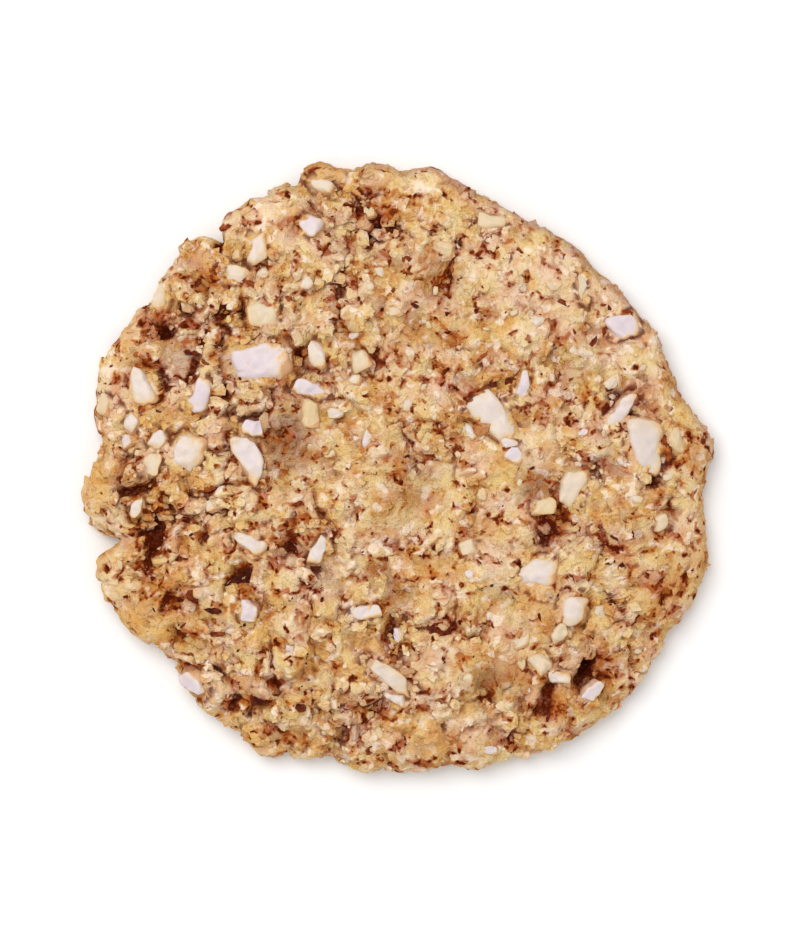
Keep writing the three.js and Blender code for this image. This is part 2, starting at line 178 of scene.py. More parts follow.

# Dough at an almond: the share of its relief that is pressed flat (growth of the oval, steepness of its
# edge), and a band of painted shadow round the almond.
BED_SHARE = 0.85
CRAG_BED = (1, 1)
CRUMB_BED = (1.0, 2)
SHADOW_BAND_OUT = 0.15
SHADOW_BAND_WIDTH = 0.4

# Dough smeared over an almond's edge with painted shade, most on the side at a bearing in degrees, the side
# away from the lamp.
SMEAR_AND_SHADE_BEARING = -40
SMEAR_SPREAD = 70
SMEAR_LEAN = 0.32

# Smaller bits of almond: x, y, length, width, turn in degrees, tone.
PLACED_BITS = [
    (-23.7, -4.9, 2, 1.6, 20, 0.4), (-22.6, -3.1, 1.6, 1.3, 70, 0.3), (14.7, 1.6, 2.6, 2, -50, 0.05),
    (25.9, -18.5, 2, 1.6, -40, 0.5), (27.3, 10.8, 2.1, 1.8, 20, 0.4), (9.2, -13.6, 1.5, 1.2, 0, 0.2),
    (5.7, 27.8, 2.6, 2, -20, 0.8), (11.6, -36, 2, 1.2, -10, 0.1), (-2.2, 25, 1.8, 1.4, 20, 0.5),
    (-3.8, 23.1, 1.6, 1.3, -40, 0.5), (-11.6, 23.5, 1.8, 1.4, 60, 0.4), (30.1, -4, 1.9, 1, -20, 0.4),
    (-5.6, 17, 1.5, 1.3, 0, 0.3), (16.7, -28.4, 1.2, 1, 50, 0.3), (-0.4, 19.9, 1.6, 1.2, 10, 0.6),
    (-34.6, 3.4, 2, 1.6, 20, 0.2), (30.7, -21.1, 3.8, 2, 60, 1), (-3.9, 32.6, 2.2, 1.8, 0, 0.8),
    (9.2, 4.4, 2, 1.3, -60, 0.3), (35.7, 3.4, 3.3, 2.8, 70, 0.85), (28.7, 0.6, 1.7, 1.1, -10, 0.4),
    (34.2, -1.2, 1.4, 0.8, 20, 0.4), (11.5, -18.9, 1.4, 1.2, 40, 0.5), (-0.1, -21.4, 2, 1.2, -70, 0.1),
    (15.7, -22.2, 2.4, 1.4, 30, 0.6), (8.9, -26.7, 1.6, 1.3, -20, 0.6), (-14, -23.1, 1.5, 1, 0, 0.1),
    (-5.7, 11.2, 1.5, 1.2, 0, 0.35), (23.4, 4.4, 1.3, 0.9, 10, 0.1), (-21.1, -20.9, 1.6, 1, -30, 0.4),
    (14.1, 2.9, 2.1, 1.4, -15, 0.25), (-11.2, 6.8, 3.3, 2.6, 80, 1), (-7.9, 6.8, 2, 1.3, -10, 0.35),
    (-4.1, 3.4, 2, 1.2, 75, 0.2), (17.7, 18.5, 2, 1.4, 10, 0.4), (1.2, 8, 1.9, 1.2, 80, 0.45),
]

# Larger scraps of almond skin: x, y, length, width, turn in degrees, tone from 0, dark, to 1, orange.
PLACED_SKINS = [
    (-20.2, -14.7, 3, 1.9, 25, 0.05), (-19, -12.6, 3.1, 1.1, 82, 0.05), (-36, 2.9, 1.8, 1.3, 0, 0.1),
    (-17.2, -1.3, 1.6, 1.3, 40, 0.7), (5.4, -20.7, 2.6, 1.7, -20, 0.25), (38.6, 3.4, 1.5, 0.9, -15, 0.4),
    (26.8, -12, 1.2, 0.9, -10, 0.4), (28.4, -12.7, 0.9, 1, 0, 0.1), (31.8, -14.4, 1.7, 1.2, 30, 0.6),
    (-10.7, -12.6, 1.5, 1, 80, 0.15), (0.2, -10.6, 1.2, 0.9, 20, 0.2), (-28.7, -21.4, 2, 1.4, 60, 0.3),
    (-22, 30.5, 1.7, 0.9, 40, 0.7), (-0.1, -0.7, 2, 1.2, 80, 0.35), (21.3, 20.9, 2.8, 0.7, -20, 0.4),
    (15.5, 27.3, 1.8, 0.7, -55, 0.5), (24.6, 15.6, 2.2, 0.7, 60, 0.4), (10.1, 13.9, 2.8, 0.9, 35, 0.65),
    (14.3, 10.8, 1.4, 1.2, 0, 0.3), (11.6, 10.9, 2, 1, -10, 0.2), (26.6, 20.5, 1.5, 0.6, -30, 0.5),
    (-2.9, -36.7, 2.8, 1.6, -30, 0.5), (8.9, -18.5, 1.7, 0.7, 50, 0.3), (5.2, -24.6, 1.3, 1, 30, 0.2),
    (10.6, -25, 1, 1, 0, 0.6), (-25.9, -16.3, 1.6, 1.3, 0, 0.4), (-28, -16.9, 1.1, 0.8, 80, 0.3),
    (-23.6, -18.2, 2, 0.8, -10, 0.15), (-20, -19.9, 1.5, 0.6, -20, 0), (-23, -21.2, 2, 0.7, 0, 0.5),
    (-26.3, -23.8, 2, 0.8, 5, 0.6), (-12.3, -30.5, 1.3, 1.2, 45, 0.3), (-11.5, -28.4, 1.6, 1, 10, 0.2),
    (-17.6, -29.5, 2.4, 1.2, 30, 0.1), (-24.7, -8.9, 1, 1, 0, 0.1), (-35.3, -1.6, 1.5, 1.2, 30, 0.35),
    (-14.8, -10.4, 2, 1.2, 75, 0.2), (-24.3, -2.5, 1.6, 1.2, 30, 0.65), (-18, 16.6, 3, 1, -15, 0.75),
    (-26.4, 14.8, 2.2, 0.8, 10, 0.3), (-19.6, 19.5, 3, 0.9, 80, 0.3), (-25.8, 23.9, 2.4, 1, 60, 0.35),
    (34.1, 2.8, 4.6, 1.1, -82, 0.6), (-19, 23.6, 1.8, 0.7, -30, 0.6), (25.6, -29.2, 2.2, 0.8, 40, 0.6),
]

# Soft places of the dough where its colour changes: x, y, length, width, turn in degrees, weight.
# Mauve dips are partly moist dough and partly painted shade in hollows, pits and beside the big almond.
MAUVE_DIPS = [
    (-14.1, 3.9, 9.5, 6.8, 80, 1), (0.2, 3.5, 7, 3.5, 0, 0.25), (1.5, -4, 7, 4, 20, 0.6),
    (1.8, 0.2, 9, 6, 10, 0.4), (-1, -6.5, 8, 5, 0, 0.35),
    (17.2, -2.2, 5, 4.5, 30, 0.95), (21.2, 11.5, 5, 3.5, 0, 0.35), (5.3, 24, 6, 6, 0, 0.6),
    (11.2, -27.3, 6, 4.2, 0, 0.9), (-3, -30.7, 5.5, 3.4, 0, 0.5), (-11.7, -26.4, 4.4, 3.4, 80, 0.5),
    (-25.9, -22.8, 4.4, 2.4, 0, 0.4), (13.3, -16.3, 4.6, 3.4, 0, 0.5), (19.6, -7.6, 3.8, 3.2, 50, 0.8),
    (-26.4, 18.4, 5.4, 2.8, 0, 0.3), (-13.9, 15.9, 4.4, 2.4, -40, 0.7), (22, 14.8, 5.6, 4.4, 0, 0.3),
]
STAINED_PLACES = [
    (-3.6, 33, 7.5, 6, -60, 1), (5.3, 24.5, 6, 5.5, 0, 0.25), (-31.2, 18, 5, 4, 40, 0.9),
    (-14, 5, 9, 6, 80, 0.35), (-31, -7.5, 7, 6, 60, 0.8), (-14.5, -9.5, 6, 5, 60, 0.55),
    (-19.5, -14, 5, 4, 0, 0.8), (-28.5, -17, 8, 5, -30, 0.9), (33.5, -16, 9, 6, 70, 1),
    (25.5, -25.5, 7, 5.5, 55, 1), (19, -30.5, 6, 5, 78, 0.8), (-3, -32.5, 7, 5, 10, 0.2),
    (-19.5, -28, 6, 4, -20, 0.9), (12, -27, 5, 4, 0, 0.7), (20, -6.5, 6, 4, 55, 0.7),
    (7, -20, 5, 3.5, 0, 0.6), (-24, 24, 6, 4, -50, 0.6), (37.3, 2, 5, 4.5, 80, 1),
    (-1, 14.5, 9, 6, 0, 0.4), (-34, -3, 5, 3.5, 20, 0.2), (18, -20, 5, 4, 0, 0.6),
    (-33, 13.5, 6, 5, 60, 0.9), (-29.5, 7.5, 4, 3, 0, 0.9), (-20, 23, 5, 3, 70, 0.4),
    (28, -10, 7, 5, 0, 0.6), (6.5, 17, 9, 6, 0, 0.6), (4, -12, 8, 5, 0, 0.5), (28.5, -7, 6, 4, 0, 0.5),
    (-12.6, -17, 6, 5, 80, 0.5), (9, 11.5, 8, 6, 0, 0.4), (-15, -3.5, 6, 5, 0, 0.3),
    (0, 10.5, 9, 5, 0, 0.35), (11, -6.5, 8, 6, -20, 0.35), (20, 8, 9, 6, 40, 0.35),
]
PALE_PLACES = [
    (-28.5, 13, 7, 5, 0, 1), (-8, -14, 7, 6, 0, 1), (-9.5, -1, 6, 5, 0, 0.6), (-7, -21, 6, 5, 0, 0.7),
    (19, 14.5, 6, 5, 0, 0.5), (25.5, -15, 6, 5, 0, 0.6), (14, -27, 6, 5, -20, 0.7), (9, -32, 8, 4, 0, 0.7),
    (-13, -33.5, 8, 4, -15, 0.8), (-23.5, -26, 5, 4, -40, 0.7), (-11, 19.5, 6, 4, 0, 0.4),
    (-8, 8, 6, 5, 0, 0.4), (14, -33, 6, 4, 0, 0.4), (-27.5, 20, 5, 4, 0, 0.5), (1.5, -4, 6, 4, 0, 0.25),
    (-37.5, -1.5, 5, 4, 0, 0.5), (-8.8, 36, 8, 4, -10, 0.5),
]
TOASTED_PLACES = [
    (4, -35.4, 9, 4, 0, 0.8), (14.4, -26.3, 6, 5, 0, 0.7), (-17.9, -34.8, 10, 4, -20, 0.8),
    (-33, -18.8, 8, 7, -60, 0.95), (17.6, -17.3, 5, 5, 0, 0.7), (38.4, -11.5, 5, 4, 80, 0.8),
    (20.8, -30, 6, 5, 40, 0.7), (-10, 38.2, 12, 4, 0, 0.8), (-38.6, -2.2, 8, 4, 90, 0.8),
    (-37.9, -11.5, 5, 4, 90, 0.8), (37, 12, 10, 4, 110, 0.5),
]

# Grid of the dough's mesh.
DOUGH_SIDE = 270
DOUGH_WALL_STEPS = 11
EASE_SHARE = 0.3
DOUGH_BASE_SHARES = (0.94, 0.84, 0.7, 0.54, 0.36, 0.18)

# Relief of the dough that is finer than the solid's crags. A warp shifts the place by noise: size,
# reach, salt. A billow is a field of rounded lumps that meet in creases: size, share of the height, salt.
# Crumbs step up and down, and creases open in patches.
CRUMBLIER_LEFT = 0.4
RIM_CALM = 0.6
RIM_CALM_RANGE = (0.88, 1.0)
LEAST_LIFT = 0.3
CRAG_SHARE = 0.7
PIT_SHARE = 0.55
WARPS = ((3.1, 1.0, 31), (1.15, 0.5, 34), (0.6, 0.2, 37))
BILLOWS = ((4.6, 1.0, 41), (2.3, 0.6, 44), (1.25, 0.3, 47))
BILLOW_MEAN = 0.3
CREASE_WIDTH = 0.15
STEP_SIZE = 2.4
STEP_SALTS = (51, 52, 53, 54)
STEP_EDGE = 0.25
PATCH_SIZE = 5.0
PATCH_SALT = 61
PATCH_RANGE = (-0.35, 0.3)
PATCH_BY_ROUGHNESS = 0.5
GRAIN_SIZE = 0.62
GRAIN_SALT = 71

# Marks of the dough. The tint rises with the relief, painted light on high dough and painted shade on low
# dough. The gap mark is painted shade: it is 1 in creases, pits, cracks and low places, and pale places
# close it. The edge on one side, at a bearing in degrees, is darkened with painted shade.
TINT_MEAN = 0.5
PAINTED_SHADE_BY_STEP = 0.6
PAINTED_SHADE_BY_BILLOW = 0.5
PAINTED_SHADE_BY_HEIGHT = 0.3
PIT_SHADE = 0.32
LOW_PLACE_SHADE = 0.3
LOW_PLACE_SHADE_RANGE = (0.4, 1.5)
PALE_CLOSES = 0.8
EDGE_SHADE = 0.6
EDGE_SHADE_BEARING = 60
EDGE_SHADE_RANGE = (0.97, 1.0)
BASE_TINT = 0.4

# Places where the top is smoother: x, y, length, width, turn in degrees, weight. The first is pressed.
SMOOTH_PLACES = [(25, 26, 34, 18, -45, 0.65), (-1, 2, 26, 22, 0, 0.3), (34, 12, 20, 10, 110, 0.4)]
PRESSED_PLACES = SMOOTH_PLACES[:1]

# Places where it is craggier than elsewhere.
ROUGH_PLACES = [(30, -18, 26, 18, 60, 0.5), (-10, -31, 34, 12, -10, 0.3), (-4, 32, 22, 14, 0, 0.15)]

# Noise that colours the dough: size in millimetres, layers, a shift that keeps it apart, distortion.
DOUGH_NOISES = {
    "broad": (8.0, 1.0, 0.0, 0.0),
    "clump": (2.8, 2.0, 3.7, 0.2),
    "crumb": (1.2, 1.0, 9.1, 0.0),
    "fine": (0.45, 1.0, 5.3, 0.0),
    "grit": (0.24, 1.0, 41.3, 0.0),
    "smear": (3.8, 2.5, 21.9, 0.1),
    "red": (2.6, 2.0, 27.1, 0.1),
    "pale": (1.6, 1.0, 31.7, 0.2),
    "stain": (1.8, 2.0, 13.3, 0.5),
    "split": (0.8, 1.5, 17.9, 0.6),
}
DOUGH_MARKS = ("tint", "gap", "dip", "toast", "stained", "pressed", "rim")

# Sums of noise and marks: how much each counts. A start takes off what parts with a mean of a half add.
# The tint puts painted light and shade that follow the relief into the tone.
LIGHTER_WEIGHTS = {"tint": 0.3, "broad": 1.1, "clump": 1.15, "crumb": 0.85, "fine": 0.65, "grit": 0.75}
TONE_WEIGHTS = {**LIGHTER_WEIGHTS, "pressed": 0.1, "stained": -0.22}
TONE_MEAN = 0.635
TONE_START = TONE_MEAN - sum(LIGHTER_WEIGHTS.values()) / 2
HUE_WEIGHTS = {"smear": 1.0, "pressed": 0.08}
# Soak rises a little in gaps, a touch of painted shade.
SOAK_WEIGHTS = {"stain": 1.0, "broad": 0.12, "gap": 0.09, "pressed": -0.02, "stained": 0.1}
SOAK_START = -SOAK_WEIGHTS["broad"] / 2
CRACK_WEIGHTS = {"soak": 1.0, "split": 0.6}
CRACK_START = -CRACK_WEIGHTS["split"] / 2
# Open follows the gap mark, so it is painted shade.
OPEN_WEIGHTS = {"fine": 0.7, "gap": 1.0}
OPEN_START = -OPEN_WEIGHTS["fine"] / 2
BUMP_WEIGHTS = {"crumb": 1.2, "fine": 0.9, "grit": 0.6, "crack": -0.35}

# Levels between which a colour sets in, falling where low ones bring it on, and its greatest share.
PINK_RANGE, PINK_SHARE = (0.48, 0.68), 0.6
YELLOW_RANGE, YELLOW_SHARE = (0.52, 0.32), 0.65
RED_RANGE, RED_SHARE = (0.48, 0.66), 0.55
STRAW_RANGE, STRAW_SHARE = (0.52, 0.34), 0.55
PALE_RANGE, PALE_SHARE = (0.59, 0.67), 0.8
TOAST_SHARE = 0.75
STAINED_SHARE = 0.45
# The mauve wash is painted shade in low dough and on one edge, and partly in the dips.
DIP_SHARE = 0.9
LOW_SHADE_RANGE, LOW_SHADE_SHARE = (0.5, 0.1), 0.42
STAIN_RANGE, STAIN_SHARE = (0.54, 0.68), 0.85
# Fine cracks are painted shade: shade brown to maroon, and the deepest shade at their bottom.
CRACK_RANGE, CRACK_SHARE = (0.665, 0.735), 0.97
DEPTH_RANGE, DEPTH_SHARE = (0.725, 0.79), 1.0
MAROON_RANGE = (0.42, 0.6)
# Open places and the band round almonds are painted shade: stain, then shade brown, then the deepest shade.
OPEN_RANGE = (0.3, 1.1)
SHADOW_BAND_RANGE, SHADOW_BAND_SHARE = (0.4, 0.55), 0.9
GAP_STAIN_RANGE = (0.2, 0.6)
GAP_DEEP_RANGE = (0.6, 1.0)
SPECK_RANGE, SPECK_SHARE = (0.44, 0.6), 0.9
PINHOLE_SHARE = 0.65

# Specks: size of a cell in millimetres, share of the cells that hold one, radius in cells. Noise makes
# them ragged, and their core is a share of the radius.
SPECKS = (1.3, 0.12, 0.34)
# Pinholes are dark dots of painted shade, with no holes in the mesh.
PINHOLES = (0.9, 0.17, 0.22)
DUST = (0.8, 0.1, 0.28)
SPECK_REACH = 0.8
SPECK_CORE = 0.35
RAGGED_SCALE = 1.8
RAGGED_LAYERS = 3.0

# Colour of the almonds: sizes of noise in millimetres, and sums, levels and shares as for the dough.
ALMOND_NOISES = {"cloud": 2.2, "fine": 0.4, "streak": 1.2, "rub": 1.1, "ragged": 0.7}
ALMOND_MARKS = ("tone", "side", "smear")
SPREAD_WEIGHTS = {"smear": 1.0, "streak": 0.75, "fine": 0.3}
ALMOND_TONE_WEIGHTS = {"tone": 1.0, "cloud": 0.35, "outer": 0.25}
ALMOND_TONE_START = -0.17
# Where the smear spreads, the almond turns yellower, then dusty, then brown: partly dough, partly painted
# shade.
OUTER_RANGE = (0.8, 1.5)
DUST_SHARE = 0.7
RUB_RANGE, RUB_SHARE = (0.6, 0.75), 0.3
SMEAR_RANGE, SMEAR_SHARE = (1.4, 1.5), 0.85
BROWN_RANGE, BROWN_SHARE = (1.53, 1.68), 0.8
# Sides turn brown with dough dust and painted shade.
SIDE_DUST_SHADE_RANGE, SIDE_DUST_SHADE_SHARE = (0.9, 1.3), 0.7

# Colour of the skin.
SKIN_NOISES = {"mottle": 0.6, "wrinkle": 0.3}
SKIN_TONE_WEIGHTS = {"tone": 1.0, "mottle": 1.5}
SKIN_TONE_START = -SKIN_TONE_WEIGHTS["mottle"] / 2

# Where on a scale of tones each of a look's colours lies.
DOUGH_STOPS = {"dark": 0.0, "brown": 0.15, "tan": 0.34, "golden": 0.5, "pale": 0.68, "cream": 0.9}
SPECK_STOPS = {"dark_speck": 0.0, "red_speck": 1.0}
ALMOND_STOPS = {"lilac": 0.05, "white": 0.35, "cream": 0.65, "yellow": 0.98}
SKIN_STOPS = {"dark": 0.0, "red_brown": 0.4, "orange_brown": 0.95}

# Finishes: strength of the bump and its height in metres, and inputs of the shader.
DOUGH_BUMP = (0.8, 0.0004)
ALMOND_BUMP = (0.35, 0.0002)
SKIN_BUMP = (0.5, 0.0002)
DOUGH_FINISH = {"Roughness": 0.85, "Specular IOR Level": 0.05}
ALMOND_FINISH = {
    "Roughness": 0.5,
    "Subsurface Weight": 0.25,
    "Subsurface Radius": (0.0012, 0.0008, 0.0005),
    "Subsurface Scale": 1.0,
}
SKIN_FINISH = {"Roughness": 0.7, "Specular IOR Level": 0.1}
FLOOR_FINISH = {"Roughness": 0.9}

# How small blocks are cut: cells along a face, slew of the sides in degrees, extra cuts, and the power that
# squares the corners. Extra cuts lie between two shares of the half size.
CRUMB_CUT = (2, 38, 4, 7)
BIT_CUT = (3, 30, 3, 9)
FLAKE_CUT = (2, 42, 3, 14)
EXTRA_CUTS = (0.7, 1.05)
BLOCK_SIDES = 4

# Spread of small pieces: share on the wall, clearance from almonds (growth of the oval, least cover that is
# too much), power that makes long ones rarer, widths as shares of the length, how ragged, tilt in degrees.
CRUMB_WALL_SHARE = 0.09
CRUMB_CLEARANCE = (0.8, 0.3)
CRUMB_POWER = 1.8
CRUMB_WIDTHS = (0.55, 0.95)
CRUMB_RAGGED = 0.2
CRUMB_TILT = 14
BIT_WALL_SHARE = 0.08
BIT_CLEARANCE = (1.2, 0.2)
BIT_POWER = 2
BIT_WIDTHS = (0.45, 0.9)
BIT_RAGGED = 0.1
BIT_TILT = 10
FLAKE_WALL_SHARE = 0.1
FLAKE_CLEARANCE = (1, 0.3)
FLAKE_POWER = 2.5
FLAKE_WIDTHS = (0.25, 0.65)
FLAKE_RAGGED = 0.22
FLAKE_TILT = 16
WALL_REACH = 0.85
COVER_STEEPNESS = 3

# Crumbs: thickness as a share of the length, limits of the roughness that counts, height over the dough as a
# share of the size, up to a size, their tint, how much of the dough's painted shade they take, and the
# painted shade on their lower sides.
CRUMB_THICKNESS = (0.4, 0.65)
CRUMB_ROUGHNESS = (0.35, 1.1)
CRUMB_PROUD = (0.04, 0.24)
CRUMB_PROUD_SIZE = 1.4
CRUMB_TINT_MEAN = 0.62
CRUMB_TINT_BY_DOUGH = 0.5
CRUMB_TINT_SPREAD = 0.24
CRUMB_SHADOW_BAND_SHARE = 0.3
CRUMB_GAP_SHADE_SHARE = 0.2
CRUMB_SHADE_LEAST = 0.05
CRUMB_SHADE_MORE = 0.4
CRUMB_SHADE_SIDE_RANGE = (0.0, 0.85)

# Bits of almond: tones of the spread ones, thickness as a share of the width, height over the dough, share
# of the half thickness that is sunk, and the heights between which a side becomes the top.
BIT_TONES = (0.5, 1.0)
BIT_THICK_SHARE = 0.75
BIT_PROUD = 0.15
BIT_SUNK_SHARE = 0.5
BIT_SIDE_RANGE = (0.2, 0.9)

# Flakes of skin: tones of the spread ones, depth in the dough, and the share of them that is kept, which
# rises in stained and rough places and falls in pale ones.
FLAKE_TONES = (0, 1)
FLAKE_SUNK = 0.08
FLAKE_MEAN = 0.35
FLAKE_BY_ROUGHNESS = 0.5

# The camera looks straight down, at the scale and centre of the photograph's frame.
FRAME_LONG_SIDE = 119.8
FRAME_CENTRE = (0.19, -0.06)
SENSOR_WIDTH = 36

# A cut block's corner reaches at most this many half sizes out, and corners of its faces that agree to this
# many digits are one point.
LONGEST_REACH = 1.6
MERGE_DIGITS = 6

# Placed pieces stay inside this share of the outline, and small ones stop this far above the base.
INSIDE_RIM = 0.98
LOWEST_PIECE = 0.05

# The stage, in metres, with the grain of the floor in millimetres and the shade that it brings.
FLOOR_HEIGHT = -0.0001
FLOOR_HALF = 1.5
FLOOR_GRAIN = 60.0
FLOOR_GRAIN_RANGE = (0.2, 0.8)
FLOOR_SHADE = 0.985
LAMP_SIZE = 0.5
LAMP_PLACE = (-0.2, 0.25, 0.7)

# A screen's tone curve: where its straight foot ends, the foot's slope, and offset and power of the rest.
FOOT_END = 0.04045
FOOT_SLOPE = 12.92
CURVE_OFFSET = 0.055
CURVE_POWER = 2.4


def srgb(red, green, blue):
    """Linear colour of a screen colour that is given from 0 to 255."""
    screen = np.array([red, green, blue]) / 255
    curve = ((screen + CURVE_OFFSET) / (1 + CURVE_OFFSET)) ** CURVE_POWER
    return tuple(np.where(screen <= FOOT_END, screen / FOOT_SLOPE, curve).tolist())


# Noise

DRAW_WAVES = (12.9898, 78.233, 37.719, 53.71)
DRAW_SPREAD = 43758.5453


def draw(a, b, c, salt):
    """A repeatable draw from 0 to 1 for three whole numbers and a salt: the fraction of a wide sine."""
    wave_a, wave_b, wave_c, wave_salt = DRAW_WAVES
    value = DRAW_SPREAD * np.sin(a * wave_a + b * wave_b + c * wave_c + salt * wave_salt)
    return value - np.floor(value)


def swell(points, size, salt):
    """Smooth noise from -1 to 1: draws at the corners of a cell of that size, eased between them."""
    scaled = points / size
    cell = np.floor(scaled)
    part = scaled - cell
    eased = part * part * (3 - 2 * part)
    total = np.zeros(len(points))
    for corner in itertools.product((0, 1), repeat=3):
        weight = np.prod(np.where(corner, eased, 1 - eased), axis=1)
        total += weight * draw(*(cell + corner).T, salt)
    return 2 * total - 1


def nearest_clump(points, size, salts):
    """Distances in cells to the nearest and second scattered centre, and the nearest one's own draw."""
    scaled = points / size
    cell = np.floor(scaled)
    first = np.full(len(points), np.inf)
    second = first.copy()
    level = np.zeros(len(points))
    for step in itertools.product((-1, 0, 1), repeat=3):
        index = cell + step
        stray = np.stack([draw(*index.T, salt) for salt in salts[:3]], axis=1)
        centre = index + 0.5 + CLUMP_SCATTER * (stray - 0.5)
        distance = np.linalg.norm(scaled - centre, axis=1)
        closer = distance < first
        second = np.where(closer, first, np.minimum(second, distance))
        level = np.where(closer, draw(*index.T, salts[3]), level)
        first = np.where(closer, distance, first)
    return first, second, level


def smooth_step(value, low, high):
    """0 below low, 1 above high, eased between them."""
    part = np.clip((value - low) / (high - low), 0, 1)
    return part * part * (3 - 2 * part)


# Form of the cookie


def rim_radius(bearing):
    """Radius of the outline at a bearing in degrees: lobes as cosines, lumps as bell curves."""
    radius = np.full_like(bearing, MEAN_RADIUS)
    for count, lift, peak in LOBES:
        radius += lift * np.cos(count * np.radians(bearing - peak))
    for at, lift, half_width in EDGE_LUMPS:
        off = (bearing - at + 180) % 360 - 180
        radius += lift * np.exp(-((off / half_width) ** 2))
    return radius


def section_share(part):
    """Share of the radius at a part of the way along the top's section, measured as length."""
    turn = np.linspace(0, np.pi / 2, SECTION_SAMPLES)
    share = np.sin(turn) ** (2 / SHOULDER_POWER)
    height = WAIST_HEIGHT + (CROWN_HEIGHT - WAIST_HEIGHT) * np.cos(turn) ** (2 / FALL_POWER)
    steps = np.hypot(np.diff(share * MEAN_RADIUS), np.diff(height))
    length = np.concatenate([[0], np.cumsum(steps)])
    return np.interp(part * length[-1], length, share)


def smooth_top(share, bearing):
    """Points and outward directions of the smooth top: a superellipse section over the outline."""
    angle = np.radians(bearing)
    rise = np.maximum(0, 1 - share**SHOULDER_POWER) ** (1 / FALL_POWER)
    radius = share * rim_radius(bearing)
    depth = CROWN_HEIGHT - WAIST_HEIGHT
    height = WAIST_HEIGHT + depth * rise
    points = np.stack([radius * np.cos(angle), radius * np.sin(angle), height], axis=1)
    out = SHOULDER_POWER * share ** (SHOULDER_POWER - 1) / MEAN_RADIUS
    up = FALL_POWER * rise ** (FALL_POWER - 1) / depth
    normals = np.stack([out * np.cos(angle), out * np.sin(angle), up], axis=1)
    return points, normals / np.linalg.norm(normals, axis=1, keepdims=True)


def smooth_wall(part, bearing):
    """Points and outward directions of the wall: a quarter oval from the waist down to the base."""
    angle = np.radians(bearing)
    turn = part * np.pi / 2
    share = BASE_SHARE + (1 - BASE_SHARE) * np.cos(turn)
    radius = share * rim_radius(bearing)
    height = WAIST_HEIGHT * (1 - np.sin(turn))
    points = np.stack([radius * np.cos(angle), radius * np.sin(angle), height], axis=1)
    normals = np.stack([np.cos(angle), np.sin(angle), np.zeros_like(angle)], axis=1)
    return points, normals


def oval_weight(points, x, y, length, width, turn, steepness):
    """How deep in a long oval each point is: 1 in its middle, falling as a bell curve to 0 outside."""
    angle = math.radians(turn)
    east, north = points[:, 0] - x, points[:, 1] - y
    along = 2 * (east * math.cos(angle) + north * math.sin(angle)) / length
    across = 2 * (north * math.cos(angle) - east * math.sin(angle)) / width
    return np.exp(-((along**2 + across**2) ** steepness))


def almond_bed(points, grow, steepness):
    """What is left of the relief under and round each almond: 1 away from them, less beneath."""
    left = np.ones(len(points))
    for x, y, length, width, turn, _, _ in ALMONDS:
        left *= 1 - BED_SHARE * oval_weight(points, x, y, grow * length, grow * width, turn, steepness)
    return left


def almond_shadow_band(points):
    """A narrow band of painted shadow round each almond, from the squared oval that its sides follow."""
    rim = np.zeros(len(points))
    for x, y, length, width, turn, taper, _ in ALMONDS:
        angle = math.radians(turn)
        east, north = points[:, 0] - x, points[:, 1] - y
        along = 2 * (east * math.cos(angle) + north * math.sin(angle)) / length
        across = 2 * (north * math.cos(angle) - east * math.sin(angle)) / width
        across = across / np.clip(1 - taper * along, *TAPER_LIMITS)
        out = ((along**OVAL_POWER + across**OVAL_POWER) ** (1 / OVAL_POWER) - 1) * width / 2
        rim = np.maximum(rim, np.exp(-(((out - SHADOW_BAND_OUT) / SHADOW_BAND_WIDTH) ** 2)))
    return rim


def pit_depth(points):
    """Depth of the pits and cracks at each point."""
    depth = np.zeros(len(points))
    for x, y, length, width, turn, deep in PITS:
        depth += deep * oval_weight(points, x, y, length, width, turn, PIT_STEEPNESS)
    return depth


def place_weight(points, places):
    """The strongest of a list of soft places at each point."""
    weight = np.zeros(len(points))
    for x, y, length, width, turn, strength in places:
        weight = np.maximum(weight, strength * oval_weight(points, x, y, length, width, turn, 1))
    return weight


def outward_share(points):
    """How far out each point is, from 0 in the middle to 1 at the outline, and its bearing in degrees."""
    bearing = np.degrees(np.arctan2(points[:, 1], points[:, 0]))
    return np.hypot(points[:, 0], points[:, 1]) / rim_radius(bearing), bearing


def roughness(points):
    """How craggy the dough is: more to the left and in rough places, less in smooth ones and at the rim."""
    leftwards = 1 - CRUMBLIER_LEFT * points[:, 0] / MEAN_RADIUS
    outwards, _ = outward_share(points)
    calm = 1 - RIM_CALM * smooth_step(outwards, *RIM_CALM_RANGE)
    placed = (1 - place_weight(points, SMOOTH_PLACES)) * (1 + place_weight(points, ROUGH_PLACES))
    return leftwards * calm * placed


def warped(points):
    """Points shifted by noise of several sizes, so that what is laid out on them has ragged edges."""
    shifted = points.copy()
    for size, reach, salt in WARPS:
        shifted += reach * np.stack([swell(points, size, salt + axis) for axis in range(3)], axis=1)
    return shifted


def crag_relief(points, shifted, bed):
    """The solid's own relief: round clumps that step up and down, wide swells, and pits."""
    distance, _, level = nearest_clump(shifted, CLUMP_SIZE, CLUMP_SALTS)
    crag = CLUMP_DEPTH * (CLUMP_LEVEL - distance**2) + CLUMP_STEP * (level - 0.5)
    rough = 1 - ROUGHER_LEFT * points[:, 0] / MEAN_RADIUS
    crag *= CRAG_SHARE * rough * bed
    return crag + SWELL_LIFT * swell(points, SWELL_SIZE, SWELL_SALT) - PIT_SHARE * pit_depth(shifted)


